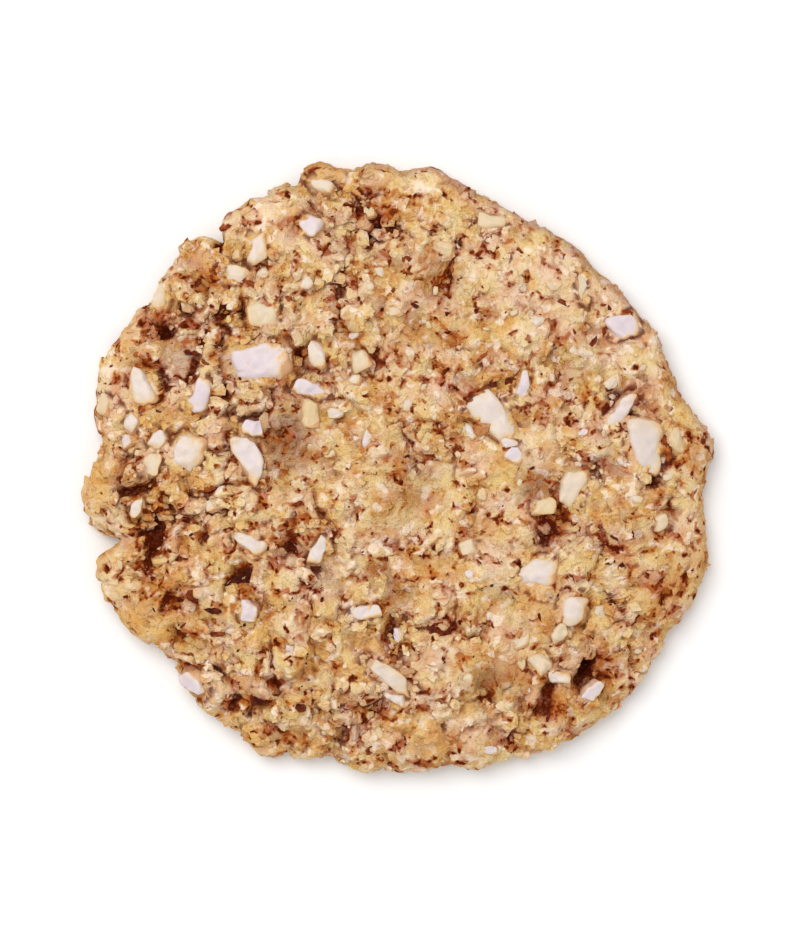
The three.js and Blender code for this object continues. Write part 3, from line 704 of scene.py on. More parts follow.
def crumb_relief(points, shifted, bed, look):
    """Lumps and creases finer than the solid's crags, and marks that paint shade on low lumps and creases.

    Billows are the size of smooth noise on the shifted place, so lumps meet in creases where the noise
    is 0. Crumbs step up and down about scattered centres, creases open in patches, and grain covers all.
    """
    rough = roughness(points)
    patched = swell(points, PATCH_SIZE, PATCH_SALT) + PATCH_BY_ROUGHNESS * (rough - 1)
    patch = smooth_step(patched, *PATCH_RANGE)
    billow = np.zeros(len(points))
    crease = np.zeros(len(points))
    for size, share, salt in BILLOWS:
        wave = swell(shifted, size, salt)
        billow += share * (np.abs(wave) - BILLOW_MEAN)
        crease = np.maximum(crease, math.sqrt(share) * np.exp(-((wave / CREASE_WIDTH) ** 2)))
    near, after, level = nearest_clump(shifted, STEP_SIZE, STEP_SALTS)
    step = (level - 0.5) * smooth_step(after - near, 0, STEP_EDGE)
    gap = crease * patch

    lift = look.lump_depth / MM * billow + look.step_depth / MM * step - look.gap_depth / MM * gap
    lift += look.grain_depth / MM * swell(shifted, GRAIN_SIZE, GRAIN_SALT)
    # The tint is painted light and shade that follow the height, and the gap is painted shade in open
    # creases.
    marks = {"tint": TINT_MEAN + PAINTED_SHADE_BY_STEP * step + PAINTED_SHADE_BY_BILLOW * billow, "gap": gap}
    return (LEAST_LIFT + (1 - LEAST_LIFT) * rough) * lift * bed, marks


def dough_marks(points):
    """Marks that follow the place on the cookie alone.

    Dips, partly moist dough and partly painted shade, and painted shade on the edge at one side are washed
    darker, stained places are brown and pale ones the opposite, and others are toasted or pressed.
    """
    outwards, bearing = outward_share(points)
    # Painted shade on the edge at one side.
    towards = np.maximum(0, np.cos(np.radians(bearing - EDGE_SHADE_BEARING)))
    edge = EDGE_SHADE * towards * smooth_step(outwards, *EDGE_SHADE_RANGE)
    return {
        "dip": np.maximum(place_weight(points, MAUVE_DIPS), edge),
        "toast": place_weight(points, TOASTED_PLACES),
        "stained": place_weight(points, STAINED_PLACES) - place_weight(points, PALE_PLACES),
        "pressed": place_weight(points, PRESSED_PLACES),
    }


def baked_surface(points, normals, look):
    """The rough dough over points of the smooth form, and its marks."""
    shifted = warped(points)
    bed = almond_bed(points, *CRUMB_BED)
    fine, marks = crumb_relief(points, shifted, bed, look)
    crag = crag_relief(points, shifted, almond_bed(points, *CRAG_BED))
    # Painted shade: the tint falls in low crags, and low places, pits and cracks count as gaps.
    marks["tint"] = np.clip(marks["tint"] + PAINTED_SHADE_BY_HEIGHT * crag, 0, 1)
    marks.update(dough_marks(points))
    low = LOW_PLACE_SHADE * smooth_step(-crag, *LOW_PLACE_SHADE_RANGE)
    crack = place_weight(points + CRACK_RAGGED * (shifted - points), CRACKS)
    closed = 1 - PALE_CLOSES * place_weight(points, PALE_PLACES)
    opened = (marks["gap"] * bed + low) * closed
    marks["gap"] = np.clip(opened + PIT_SHADE * pit_depth(shifted) + crack, 0, 1)
    # The rim mark is painted shadow round the almonds.
    marks["rim"] = almond_shadow_band(points)
    lift = crag + fine - CRACK_DEPTH * crack
    return points + normals * lift[:, None], marks


def disc_grid(side):
    """A square grid laid on the unit disc: squares about the middle become circles.

    Gives each grid point's distance from the middle and its bearing in degrees.
    """
    line = np.linspace(-1, 1, side)
    a, b = np.meshgrid(line, line)
    a, b = a.ravel(), b.ravel()
    wide = np.abs(a) >= np.abs(b)
    main = np.where(wide, a, b)
    other = np.where(wide, b, a)
    slant = np.divide(other, main, out=np.zeros_like(main), where=main != 0) * np.pi / 4
    x = main * np.where(wide, np.cos(slant), np.sin(slant))
    y = main * np.where(wide, np.sin(slant), np.cos(slant))
    return np.abs(main), np.degrees(np.arctan2(y, x))


def grid_border(side):
    """Indices of the border of a square grid, once round, anticlockwise."""
    index = np.arange(side * side).reshape(side, side)
    return np.concatenate([index[0, :-1], index[:-1, -1], index[-1, :0:-1], index[:0:-1, 0]])


def grid_triangles(side):
    """Two triangles for each cell of a square grid, facing up."""
    index = np.arange(side * side).reshape(side, side)
    a, b = index[:-1, :-1].ravel(), index[:-1, 1:].ravel()
    c, d = index[1:, 1:].ravel(), index[1:, :-1].ravel()
    return np.concatenate([np.stack([a, b, c], axis=1), np.stack([a, c, d], axis=1)])


def band_triangles(upper, lower):
    """Two triangles for each step round a closed band between two rings, facing out."""
    upper_next, lower_next = np.roll(upper, -1), np.roll(lower, -1)
    first = np.stack([upper, lower, lower_next], axis=1)
    return np.concatenate([first, np.stack([upper, lower_next, upper_next], axis=1)])


def eased_grid(points, side):
    """A square grid of points with each inner one moved part of the way to the mean of its neighbours."""
    grid = points.reshape(side, side, 3).copy()
    around = (grid[:-2, 1:-1] + grid[2:, 1:-1] + grid[1:-1, :-2] + grid[1:-1, 2:]) / 4
    grid[1:-1, 1:-1] += EASE_SHARE * (around - grid[1:-1, 1:-1])
    return grid.reshape(-1, 3)


def dough_surface(look):
    """The whole dough, closed: a grid over the top, rings down the wall, rings in to the base's middle."""
    part, bearing = disc_grid(DOUGH_SIDE)
    border = grid_border(DOUGH_SIDE)
    border_bearing = bearing[border]
    columns = len(border)
    smooth, normals = smooth_top(section_share(part), bearing)
    wall_part = np.repeat(np.arange(1, DOUGH_WALL_STEPS + 1) / DOUGH_WALL_STEPS, columns)
    wall, outwards = smooth_wall(wall_part, np.tile(border_bearing, DOUGH_WALL_STEPS))
    points, marks = baked_surface(
        np.concatenate([smooth, wall]), np.concatenate([normals, outwards]), look
    )
    top_count = DOUGH_SIDE * DOUGH_SIDE
    points[:top_count] = eased_grid(points[:top_count], DOUGH_SIDE)

    base_edge = points[-columns:]
    rings = [base_edge * share for share in DOUGH_BASE_SHARES] + [np.zeros((1, 3))]
    base = np.concatenate(rings)
    points = np.concatenate([points, base])
    points[:, 2] = np.maximum(points[:, 2], 0)
    base_marks = {**dict.fromkeys(marks, 0.0), "tint": BASE_TINT, "toast": 1.0}
    marks = {
        name: np.concatenate([values, np.full(len(base), base_marks[name])])
        for name, values in marks.items()
    }

    band_count = DOUGH_WALL_STEPS + len(DOUGH_BASE_SHARES)
    bands = [border] + [top_count + band * columns + np.arange(columns) for band in range(band_count)]
    triangles = [grid_triangles(DOUGH_SIDE)]
    triangles += [band_triangles(upper, lower) for upper, lower in zip(bands, bands[1:])]
    pole = np.full(columns, len(points) - 1)
    triangles.append(np.stack([bands[-1], pole, np.roll(bands[-1], -1)], axis=1))
    return points, np.concatenate(triangles), marks


# Small pieces


def block_grid(splits):
    """Directions to a grid over a cube's six faces, and its triangles, facing out."""
    line = np.linspace(-1, 1, splits + 1)
    u, v = np.meshgrid(line, line, indexing="ij")
    index = np.arange((splits + 1) ** 2).reshape(splits + 1, splits + 1)
    a, b = index[:-1, :-1].ravel(), index[1:, :-1].ravel()
    c, d = index[1:, 1:].ravel(), index[:-1, 1:].ravel()
    cell = np.concatenate([np.stack([a, b, c], axis=1), np.stack([a, c, d], axis=1)])
    corners, triangles = [], []
    for axis, sign in itertools.product(range(3), (-1, 1)):
        face = np.empty((index.size, 3))
        face[:, axis] = sign
        face[:, (axis + 1) % 3] = u.ravel()
        face[:, (axis + 2) % 3] = sign * v.ravel()
        triangles.append(cell + len(corners) * index.size)
        corners.append(face)
    rounded = np.round(np.concatenate(corners), MERGE_DIGITS)
    merged, place = np.unique(rounded, axis=0, return_inverse=True)
    directions = merged / np.linalg.norm(merged, axis=1, keepdims=True)
    return directions, place.ravel()[np.concatenate(triangles)]


def side_directions(turned, leaning):
    """Directions of each piece's slanted sides, from angles in degrees, and of its flat top and bottom."""
    bearing = np.radians(np.arange(BLOCK_SIDES) * 360 / BLOCK_SIDES + turned)
    lean = np.radians(leaning)
    flat = np.cos(lean)
    sides = np.stack([flat * np.cos(bearing), flat * np.sin(bearing), np.sin(lean)], axis=2)
    caps = np.broadcast_to([[0.0, 0, 1], [0, 0, -1]], (len(turned), 2, 3))
    return np.concatenate([sides, caps], axis=1)


def cut_blocks(directions, faces, power):
    """Rounded blocks: the reach in a direction falls with how squarely it meets the cut faces."""
    facing = np.maximum(0, np.einsum("vc,pfc->pvf", directions, faces))
    reach = np.minimum((facing**power).sum(axis=2) ** (-1 / power), LONGEST_REACH)
    return directions * reach[:, :, None]


def lying_poses(normals, turns, tilts):
    """Turns that lay pieces on a surface: up to the normal, then about it, then tilted on two axes."""
    nx, ny, nz = normals.T
    bend = 1 / (1 + nz)
    upright = np.stack(
        [
            np.stack([1 - bend * nx * nx, -bend * nx * ny, nx], axis=1),
            np.stack([-bend * nx * ny, 1 - bend * ny * ny, ny], axis=1),
            np.stack([-nx, -ny, nz], axis=1),
        ],
        axis=1,
    )
    zero, one = np.zeros_like(nx), np.ones_like(nx)
    cos, sin = np.cos(np.radians(turns)), np.sin(np.radians(turns))
    spin = np.stack([cos, -sin, zero, sin, cos, zero, zero, zero, one], axis=1).reshape(-1, 3, 3)
    cos, sin = np.cos(np.radians(tilts)), np.sin(np.radians(tilts))
    roll = np.stack(
        [one, zero, zero, zero, cos[:, 0], -sin[:, 0], zero, sin[:, 0], cos[:, 0]], axis=1
    ).reshape(-1, 3, 3)
    pitch = np.stack(
        [cos[:, 1], zero, sin[:, 1], zero, one, zero, -sin[:, 1], zero, cos[:, 1]], axis=1
    ).reshape(-1, 3, 3)
    return upright @ spin @ roll @ pitch


def joined_pieces(shapes, poses, places, triangles, marks):
    """One array of points, triangles and marks for many posed copies."""
    count, corners = shapes.shape[:2]
    points = np.einsum("pij,pvj->pvi", poses, shapes) + places[:, None, :]
    points[:, :, 2] = np.maximum(points[:, :, 2], LOWEST_PIECE)
    offsets = corners * np.arange(count)[:, None, None]
    joined = (triangles[None] + offsets).reshape(-1, 3)
    spread = {name: np.repeat(values, corners) for name, values in marks.items()}
    return points.reshape(-1, 3), joined, spread


def top_place(x, y):
    """Points and directions of the smooth top over a place, kept inside the rim."""
    bearing = np.degrees(np.arctan2(y, x))
    share = np.minimum(INSIDE_RIM, np.hypot(x, y) / rim_radius(bearing))
    return smooth_top(share, bearing)


def fitted(shapes):
    """Shapes moved and stretched in plan so that each one fills a square from -1 to 1."""
    low, high = shapes.min(axis=1, keepdims=True), shapes.max(axis=1, keepdims=True)
    filled = 2 * (shapes - low) / (high - low) - 1
    return np.concatenate([filled[:, :, :2], shapes[:, :, 2:]], axis=2)


def chipped(points):
    """Points shifted by two sizes of noise, so that cut edges look broken."""
    shifted = points.copy()
    for size, reach, salt in CHIP_WAVES:
        shifted += reach * np.stack([swell(points, size, salt + axis) for axis in range(3)], axis=1)
    return shifted


def smear(plan, bearing):
    """How near the edge of an almond a point is, 1 on it, and nearer on the side at a bearing.

    The distance from the middle is a squared oval, with a slope across it.
    """
    x, y = plan[:, :, 0], plan[:, :, 1]
    across = x * np.cos(bearing)[:, None] + y * np.sin(bearing)[:, None]
    return (x**OVAL_POWER + y**OVAL_POWER) ** (1 / OVAL_POWER) + SMEAR_LEAN * across


def almond_pieces():
    """The large chopped almonds, as in the solid: rounded blocks with slanted cuts, laid in the top."""
    rows = np.array(ALMONDS, dtype=float)
    x, y, length, width, turn, taper, tone = rows.T
    piece = np.arange(len(rows))
    sides = np.arange(BLOCK_SIDES)
    spread = 2 * draw(piece[:, None], sides, 0, FACET_SALT) - 1
    lean = 2 * draw(piece[:, None], sides, 1, FACET_SALT) - 1
    tilts = ALMOND_TILT * (2 * draw(piece[:, None], np.arange(2), 2, FACET_SALT) - 1)
    directions, triangles = block_grid(ALMOND_SPLITS)
    faces = side_directions(FACET_SLEW * spread, FACET_SLEW * lean)
    shapes = cut_blocks(directions, faces, ROUNDED_POWER)
    shapes[:, :, 1] *= 1 - taper[:, None] * shapes[:, :, 0]
    half = np.stack([length, width, ALMOND_THICK_SHARE * width], axis=1) / 2
    # The side mark brings brown dust and painted shade to an almond's sides.
    side = 1 - smooth_step(shapes[:, :, 2], *ALMOND_SIDE_RANGE)
    shapes = fitted(shapes)
    bearing = SMEAR_AND_SHADE_BEARING + SMEAR_SPREAD * (2 * draw(piece, 0, 3, FACET_SALT) - 1) - turn
    smeared = smear(shapes, np.radians(bearing))
    shapes = shapes * half[:, None, :]

    smooth, normals = top_place(x, y)
    smooth[:, 0], smooth[:, 1] = x, y
    sink = ALMOND_PROUD - half[:, 2] + SWELL_LIFT * swell(smooth, SWELL_SIZE, SWELL_SALT)
    places = smooth + normals * sink[:, None]
    points, triangles, marks = joined_pieces(
        shapes, lying_poses(normals, turn, tilts), places, triangles, {"tone": tone}
    )
    marks["side"] = side.ravel()
    marks["smear"] = smeared.ravel()
    return chipped(points), triangles, marks


def between(rng, limits, shape, power=1):
    """Random draws between two limits. A power above 1 makes high ones rarer."""
    low, high = limits
    return low + (high - low) * rng.random(shape) ** power


def random_frames(rng, count, wall_share):
    """Smooth points and directions spread evenly over the top, with a share of them on the wall."""
    bearing = 360 * rng.random(count)
    part = rng.random(count)
    on_wall = rng.random((count, 1)) < wall_share
    top, top_normals = smooth_top(section_share(np.sqrt(part)), bearing)
    wall, wall_normals = smooth_wall(WALL_REACH * part, bearing)
    return np.where(on_wall, wall, top), np.where(on_wall, wall_normals, top_normals)


def chipped_shapes(rng, half, splits, slew, chops, power):
    """Irregular blocks of half sizes: slanted sides, flat ends, and extra cuts that chip the corners off."""
    count = len(half)
    directions, triangles = block_grid(splits)
    turned = slew * (2 * rng.random((count, BLOCK_SIDES)) - 1)
    leaning = slew * (2 * rng.random((count, BLOCK_SIDES)) - 1)
    cuts = rng.normal(size=(count, chops, 3))
    cuts /= np.linalg.norm(cuts, axis=2, keepdims=True)
    cuts /= between(rng, EXTRA_CUTS, (count, chops, 1))
    faces = np.concatenate([side_directions(turned, leaning), cuts], axis=1)
    return cut_blocks(directions, faces, power) * half[:, None, :], triangles


def clear_of_almonds(points, grow, cover_limit):
    """Which points lie clear of every almond: its oval, grown a little, covers them less than a limit."""
    cover = np.zeros(len(points))
    for x, y, length, width, turn, _, _ in ALMONDS:
        oval = oval_weight(points, x, y, grow * length, grow * width, turn, COVER_STEEPNESS)
        cover = np.maximum(cover, oval)
    return cover < cover_limit


def placed_first(rows, loose, loose_normals):
    """Smooth points and directions of the placed pieces, then of the loose ones."""
    smooth, normals = top_place(rows[:, 0], rows[:, 1])
    return np.concatenate([smooth, loose]), np.concatenate([normals, loose_normals])


def drawn_after(rng, rows, count, lengths, power, widths, tones):
    """Length, width, turn and tone of the placed pieces, then draws of them for the loose ones."""
    size = between(rng, lengths, count, power) / MM
    width = size * between(rng, widths, count)
    turn = 360 * rng.random(count)
    drawn = np.stack([size, width, turn, between(rng, tones, count)])
    return np.concatenate([rows[:, 2:].T, drawn], axis=1)


def loose_crumbs(look, seed):
    """Flat, angular crumbs of dough almost flush with the surface, many small and few large."""
    rng = np.random.default_rng(seed)
    smooth, normals = random_frames(rng, look.crumb_count, CRUMB_WALL_SHARE)
    kept = clear_of_almonds(smooth, *CRUMB_CLEARANCE) & (pit_depth(smooth) < CLEAR_PIT)
    smooth, normals = smooth[kept], normals[kept]
    count = len(smooth)
    places, marks = baked_surface(smooth, normals, look)
    size = between(rng, (look.crumb_min, look.crumb_max), count, CRUMB_POWER) / MM
    width = between(rng, CRUMB_WIDTHS, count)
    thickness = between(rng, CRUMB_THICKNESS, count)
    half = size[:, None] / 2 * np.stack([np.ones(count), width, thickness], axis=1)
    shapes, triangles = chipped_shapes(rng, half, *CRUMB_CUT)
    shapes += CRUMB_RAGGED * size[:, None, None] * (rng.random(shapes.shape) - 0.5)

    rough = np.clip(roughness(smooth), *CRUMB_ROUGHNESS)
    proud = rough * between(rng, CRUMB_PROUD, count) * np.minimum(size, CRUMB_PROUD_SIZE)
    places = places + normals * (proud - half[:, 2])[:, None]
    poses = lying_poses(normals, 360 * rng.random(count), CRUMB_TILT * rng.normal(size=(count, 2)))
    tint = CRUMB_TINT_MEAN + CRUMB_TINT_BY_DOUGH * (marks["tint"] - TINT_MEAN)
    marks["tint"] = np.clip(tint + CRUMB_TINT_SPREAD * rng.normal(size=count), 0, 1)
    # Painted shade: a little of the dough's gaps and of the band round almonds, and more on each crumb's
    # lower sides.
    marks["rim"] = CRUMB_SHADOW_BAND_SHARE * marks["rim"]
    underside_shade = CRUMB_SHADE_LEAST + CRUMB_SHADE_MORE * rng.random(count) * rough
    side = 1 - smooth_step(shapes[:, :, 2] / half[:, None, 2], *CRUMB_SHADE_SIDE_RANGE)
    crumb_shade = CRUMB_GAP_SHADE_SHARE * marks["gap"][:, None] + underside_shade[:, None] * side
    points, joined, marks = joined_pieces(shapes, poses, places, triangles, marks)
    marks["gap"] = np.clip(crumb_shade, 0, 1).ravel()
    return points, joined, marks


def almond_bits(look, dough, seed):
    """Small bits of almond: the placed ones, then a seeded spread of smaller ones."""
    rng = np.random.default_rng(seed)
    rows = np.array(PLACED_BITS, dtype=float)
    loose, loose_normals = random_frames(rng, look.bit_count, BIT_WALL_SHARE)
    kept = clear_of_almonds(loose, *BIT_CLEARANCE) & (pit_depth(loose) < CLEAR_PIT)
    smooth, normals = placed_first(rows, loose[kept], loose_normals[kept])
    lengths = (look.bit_min, look.bit_max)
    length, width, turn, tone = drawn_after(
        rng, rows, np.count_nonzero(kept), lengths, BIT_POWER, BIT_WIDTHS, BIT_TONES
    )
    half = np.stack([length, width, BIT_THICK_SHARE * width], axis=1) / 2
    shapes, triangles = chipped_shapes(rng, half, *BIT_CUT)
    shapes += BIT_RAGGED * width[:, None, None] * (rng.random(shapes.shape) - 0.5)
    places, _ = baked_surface(smooth, normals, dough)
    places = places + normals * (BIT_PROUD - BIT_SUNK_SHARE * half[:, 2])[:, None]
    poses = lying_poses(normals, turn, BIT_TILT * rng.normal(size=(len(half), 2)))
    points, joined, marks = joined_pieces(shapes, poses, places, triangles, {"tone": tone})
    # The side mark brings brown dust and painted shade to a bit's sides.
    side = 1 - smooth_step(shapes[:, :, 2] / half[:, None, 2], *BIT_SIDE_RANGE)
    marks["side"] = side.ravel()
    marks["smear"] = smear(shapes / half[:, None, :], np.radians(SMEAR_AND_SHADE_BEARING - turn)).ravel()
    return points, joined, marks


def skin_flakes(look, dough, seed):
    """Thin scraps of almond skin: the placed ones, then a seeded spread of small flakes."""
    rng = np.random.default_rng(seed)
    rows = np.array(PLACED_SKINS, dtype=float)
    loose, loose_normals = random_frames(rng, look.flake_count, FLAKE_WALL_SHARE)
    gathered = FLAKE_MEAN + place_weight(loose, STAINED_PLACES) - place_weight(loose, PALE_PLACES)
    gathered += FLAKE_BY_ROUGHNESS * (roughness(loose) - 1)
    kept = clear_of_almonds(loose, *FLAKE_CLEARANCE) & (rng.random(len(loose)) < gathered)
    smooth, normals = placed_first(rows, loose[kept], loose_normals[kept])
    lengths = (look.flake_min, look.flake_max)
    length, width, turn, tone = drawn_after(
        rng, rows, np.count_nonzero(kept), lengths, FLAKE_POWER, FLAKE_WIDTHS, FLAKE_TONES
    )
    count = len(length)
    thickness = np.full(count, look.flake_thickness / MM)
    half = np.stack([length, width, thickness], axis=1) / 2
    shapes, triangles = chipped_shapes(rng, half, *FLAKE_CUT)
    stray = rng.random((*shapes.shape[:2], 2)) - 0.5
    shapes[:, :, :2] += FLAKE_RAGGED * width[:, None, None] * stray
    places, _ = baked_surface(smooth, normals, dough)
    poses = lying_poses(normals, turn, FLAKE_TILT * rng.normal(size=(count, 2)))
    return joined_pieces(shapes, poses, places - FLAKE_SUNK * normals, triangles, {"tone": tone})


# Meshes


def make_piece(name, surface, material, smooth=True):
    """Puts points in millimetres, triangles and marks into a mesh object that rides on the cookie."""
    points, triangles, marks = surface
    mesh = bpy.data.meshes.new(name)
    mesh.vertices.add(len(points))
    mesh.vertices.foreach_set("co", (points * MM).astype(np.float32).ravel())
    mesh.loops.add(triangles.size)
    mesh.loops.foreach_set("vertex_index", triangles.astype(np.int32).ravel())
    mesh.polygons.add(len(triangles))
    mesh.polygons.foreach_set("loop_start", np.arange(0, triangles.size, 3, dtype=np.int32))
    mesh.polygons.foreach_set("use_smooth", np.full(len(triangles), smooth))
    for label, values in marks.items():
        attribute = mesh.attributes.new(label, "FLOAT", "POINT")
        attribute.data.foreach_set("value", values.astype(np.float32))
    mesh.update(calc_edges=True)
    if mesh.validate():
        raise RuntimeError(f"{name}: the surface has faces that don't make a mesh")
    mesh.materials.append(material)
    piece = bpy.data.objects.new(name, mesh)
    bpy.context.scene.collection.objects.link(piece)
    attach(piece, BODY)
    return piece


# Materials


def add_node(tree, kind, inputs=None, **settings):
    """A node with its settings, and its inputs linked from sockets or set to values."""
    node = tree.nodes.new(kind)
    for name, value in settings.items():
        setattr(node, name, value)
    for key, value in (inputs or {}).items():
        if isinstance(value, bpy.types.NodeSocket):
            tree.links.new(value, node.inputs[key])
        else:
            node.inputs[key].default_value = value
    return node


# Sockets of the mix node that a mix of colours uses.
MIX_FACTOR, MIX_FIRST, MIX_SECOND, MIX_RESULT = 0, 6, 7, 2


def mix_colour(tree, factor, first, second, blend="MIX"):
    """Socket of two colours mixed by a factor."""
    inputs = {MIX_FACTOR: factor, MIX_FIRST: first, MIX_SECOND: second}
    node = add_node(tree, "ShaderNodeMix", inputs, data_type="RGBA", blend_type=blend)
    return node.outputs[MIX_RESULT]


def number(tree, operation, first, second=0.0):
    """Socket of a sum, product or other operation on two numbers."""
    return add_node(tree, "ShaderNodeMath", {0: first, 1: second}, operation=operation).outputs[0]


def vector(tree, operation, inputs):
    """Socket of an operation on vectors."""
    return add_node(tree, "ShaderNodeVectorMath", inputs, operation=operation).outputs[0]


def remap(tree, value, low, high):
    """Socket that eases from 0 at low to 1 at high."""
    inputs = {"Value": value, "From Min": low, "From Max": high}
    return add_node(tree, "ShaderNodeMapRange", inputs, interpolation_type="SMOOTHSTEP").outputs[0]


def mark(tree, name):
    """Socket of one of the mesh's own marks."""
    return add_node(tree, "ShaderNodeAttribute", attribute_name=name).outputs["Fac"]


def solid(colour):
    """A property's colour with full alpha."""
    return (*colour, 1)


def ramp(tree, tone, look, stops):
    """Socket of the colour at a tone, between colours of a look that each lie at a stop."""
    node = add_node(tree, "ShaderNodeValToRGB", {"Fac": tone})
    elements = node.color_ramp.elements
    while len(elements) < len(stops):
        elements.new(1)
    for element, (name, stop) in zip(elements, stops.items()):
        element.position = stop
        element.color = solid(getattr(look, name))
    return node.outputs["Color"]


def weighted(tree, start, field, weights):
    """Socket of a constant plus named sockets of a field that each have a weight."""
    total = start
    for name, weight in weights.items():
        inputs = {0: field[name], 1: weight, 2: total}
        total = add_node(tree, "ShaderNodeMath", inputs, operation="MULTIPLY_ADD").outputs[0]
    return total


def laid_over(tree, colour, mask, share, tint):
    """Socket of a colour with up to a share of a tint over it where a mask is 1."""
    return mix_colour(tree, number(tree, "MULTIPLY", mask, share), colour, tint)


def covered(tree, colour, covers):
    """Socket of a colour with tints laid over it in turn, each as a value goes from one level to another."""
    for value, levels, share, tint in covers:
        colour = laid_over(tree, colour, remap(tree, value, *levels), share, solid(tint))
    return colour


# Node groups


def new_group(name, inputs, outputs):
    """An empty shader node group with named float inputs after a Vector, and named float outputs."""
    group = bpy.data.node_groups.new(name, "ShaderNodeTree")
    group.interface.new_socket("Vector", in_out="INPUT", socket_type="NodeSocketVector")
    for socket, default in inputs.items():
        made = group.interface.new_socket(socket, in_out="INPUT", socket_type="NodeSocketFloat")
        made.default_value = default
    for socket in outputs:
        group.interface.new_socket(socket, in_out="OUTPUT", socket_type="NodeSocketFloat")
    return group, group.nodes.new("NodeGroupInput").outputs, group.nodes.new("NodeGroupOutput").inputs


def ragged_place(tree, source, reach):
    """Socket of the place in cells, shifted by noise so that what lies on it is ragged."""
    share = number(tree, "DIVIDE", 1.0, source["Size"])
    scaled = vector(tree, "SCALE", {0: source["Vector"], "Scale": share})
    inputs = {"Vector": scaled, "Scale": RAGGED_SCALE, "Detail": RAGGED_LAYERS}
    noise = add_node(tree, "ShaderNodeTexNoise", inputs)
    centred = vector(tree, "SUBTRACT", {0: noise.outputs["Color"], 1: (0.5, 0.5, 0.5)})
    shift = vector(tree, "SCALE", {0: centred, "Scale": reach})
    return vector(tree, "ADD", {0: scaled, 1: shift})


def speckle_group():
    """Speckle: ragged, soft-edged specks in a share of the cells, with a draw for each speck's tone."""
    inputs = {"Size": 1.0, "Share": 0.2, "Radius": 0.3}
    group, source, target = new_group("Speckle", inputs, ("Mask", "Tone"))
    place = ragged_place(group, source, SPECK_REACH)
    cell = add_node(group, "ShaderNodeTexVoronoi", {"Vector": place, "Scale": 1.0})
    drawn = add_node(group, "ShaderNodeSeparateColor", {0: cell.outputs["Color"]})
    kept = number(group, "LESS_THAN", drawn.outputs[0], source["Share"])
    core = number(group, "MULTIPLY", source["Radius"], SPECK_CORE)
    inside = remap(group, cell.outputs["Distance"], source["Radius"], core)
    group.links.new(number(group, "MULTIPLY", kept, inside), target["Mask"])
    group.links.new(drawn.outputs[1], target["Tone"])
    return group


def grain_group():
    """Grain: smooth noise of a given size with finer layers on it, from 0 to 1."""
    inputs = {"Size": 1.0, "Layers": 1.0, "Shift": 0.0, "Distortion": 0.0}
    group, source, target = new_group("Grain", inputs, ("Value",))
    share = number(group, "DIVIDE", 1.0, source["Size"])
    scaled = vector(group, "SCALE", {0: source["Vector"], "Scale": share})
    inputs = {
        "Vector": vector(group, "ADD", {0: scaled, 1: source["Shift"]}),
        "Scale": 1.0,
        "Detail": source["Layers"],
        "Roughness": 0.5,
        "Distortion": source["Distortion"],
    }
    noise = add_node(group, "ShaderNodeTexNoise", inputs)
    group.links.new(noise.outputs["Fac"], target["Value"])
    return group


def use_group(tree, name, build, inputs):
    """Outputs of a shared group, built on first use, placed in a material with its own values."""
    group = bpy.data.node_groups.get(name) or build()
    return add_node(tree, "ShaderNodeGroup", inputs, node_tree=group).outputs


def speckle(tree, place, size, share, radius):
    """Sockets of specks: a mask, and a tone for each."""
    inputs = {"Vector": place, "Size": size, "Share": share, "Radius": radius}
    return use_group(tree, "Speckle", speckle_group, inputs)


def grain(tree, place, size, layers=2.0, shift=0.0, distortion=0.0):
    """Socket of smooth noise from 0 to 1, its size in millimetres."""
    inputs = {"Vector": place, "Size": size, "Layers": layers, "Shift": shift, "Distortion": distortion}
    return use_group(tree, "Grain", grain_group, inputs)["Value"]


# Finishes


def new_material(name):
    """An empty material with its Principled shader, and the place in millimetres."""
    material = bpy.data.materials.new(name)
    material.use_nodes = True
    tree = material.node_tree
    coordinate = tree.nodes.new("ShaderNodeTexCoord")
    place = vector(tree, "SCALE", {0: coordinate.outputs["Object"], "Scale": 1 / MM})
    return material, tree, tree.nodes["Principled BSDF"], place


def finish(tree, shader, colour, values):
    """Gives the shader its colour and plain values."""
    tree.links.new(colour, shader.inputs["Base Color"])
    for name, value in values.items():
        shader.inputs[name].default_value = value


def add_bump(tree, shader, height, strength, distance):
    """Fine relief from a height, in metres, on the shader's normal."""
    inputs = {"Height": height, "Strength": strength, "Distance": distance}
    bump = add_node(tree, "ShaderNodeBump", inputs)
    tree.links.new(bump.outputs["Normal"], shader.inputs["Normal"])


def dough_fields(tree, place):
    """Sockets of all that colours the dough, by name.

    Noise and marks come first. The tone is light or dark, the hue is yellow or pink, soak rises where brown
    has soaked in, a crack is painted shade where it is deepest, and open is painted shade in a gap between
    crumbs or in a band beside an almond.
    """
    field = {name: grain(tree, place, *noise) for name, noise in DOUGH_NOISES.items()}
    field.update({name: mark(tree, name) for name in DOUGH_MARKS})
    field["tone"] = weighted(tree, TONE_START, field, TONE_WEIGHTS)
    field["hue"] = weighted(tree, 0.0, field, HUE_WEIGHTS)
    field["soak"] = weighted(tree, SOAK_START, field, SOAK_WEIGHTS)
    field["depth"] = weighted(tree, CRACK_START, field, CRACK_WEIGHTS)
    field["crack"] = remap(tree, field["depth"], *CRACK_RANGE)
    opened = remap(tree, weighted(tree, OPEN_START, field, OPEN_WEIGHTS), *OPEN_RANGE)
    # Painted shadow in a patchy band round each almond.
    band = number(tree, "MULTIPLY", field["rim"], remap(tree, field["crumb"], *SHADOW_BAND_RANGE))
    field["open"] = number(tree, "MAXIMUM", opened, number(tree, "MULTIPLY", band, SHADOW_BAND_SHARE))
    return field


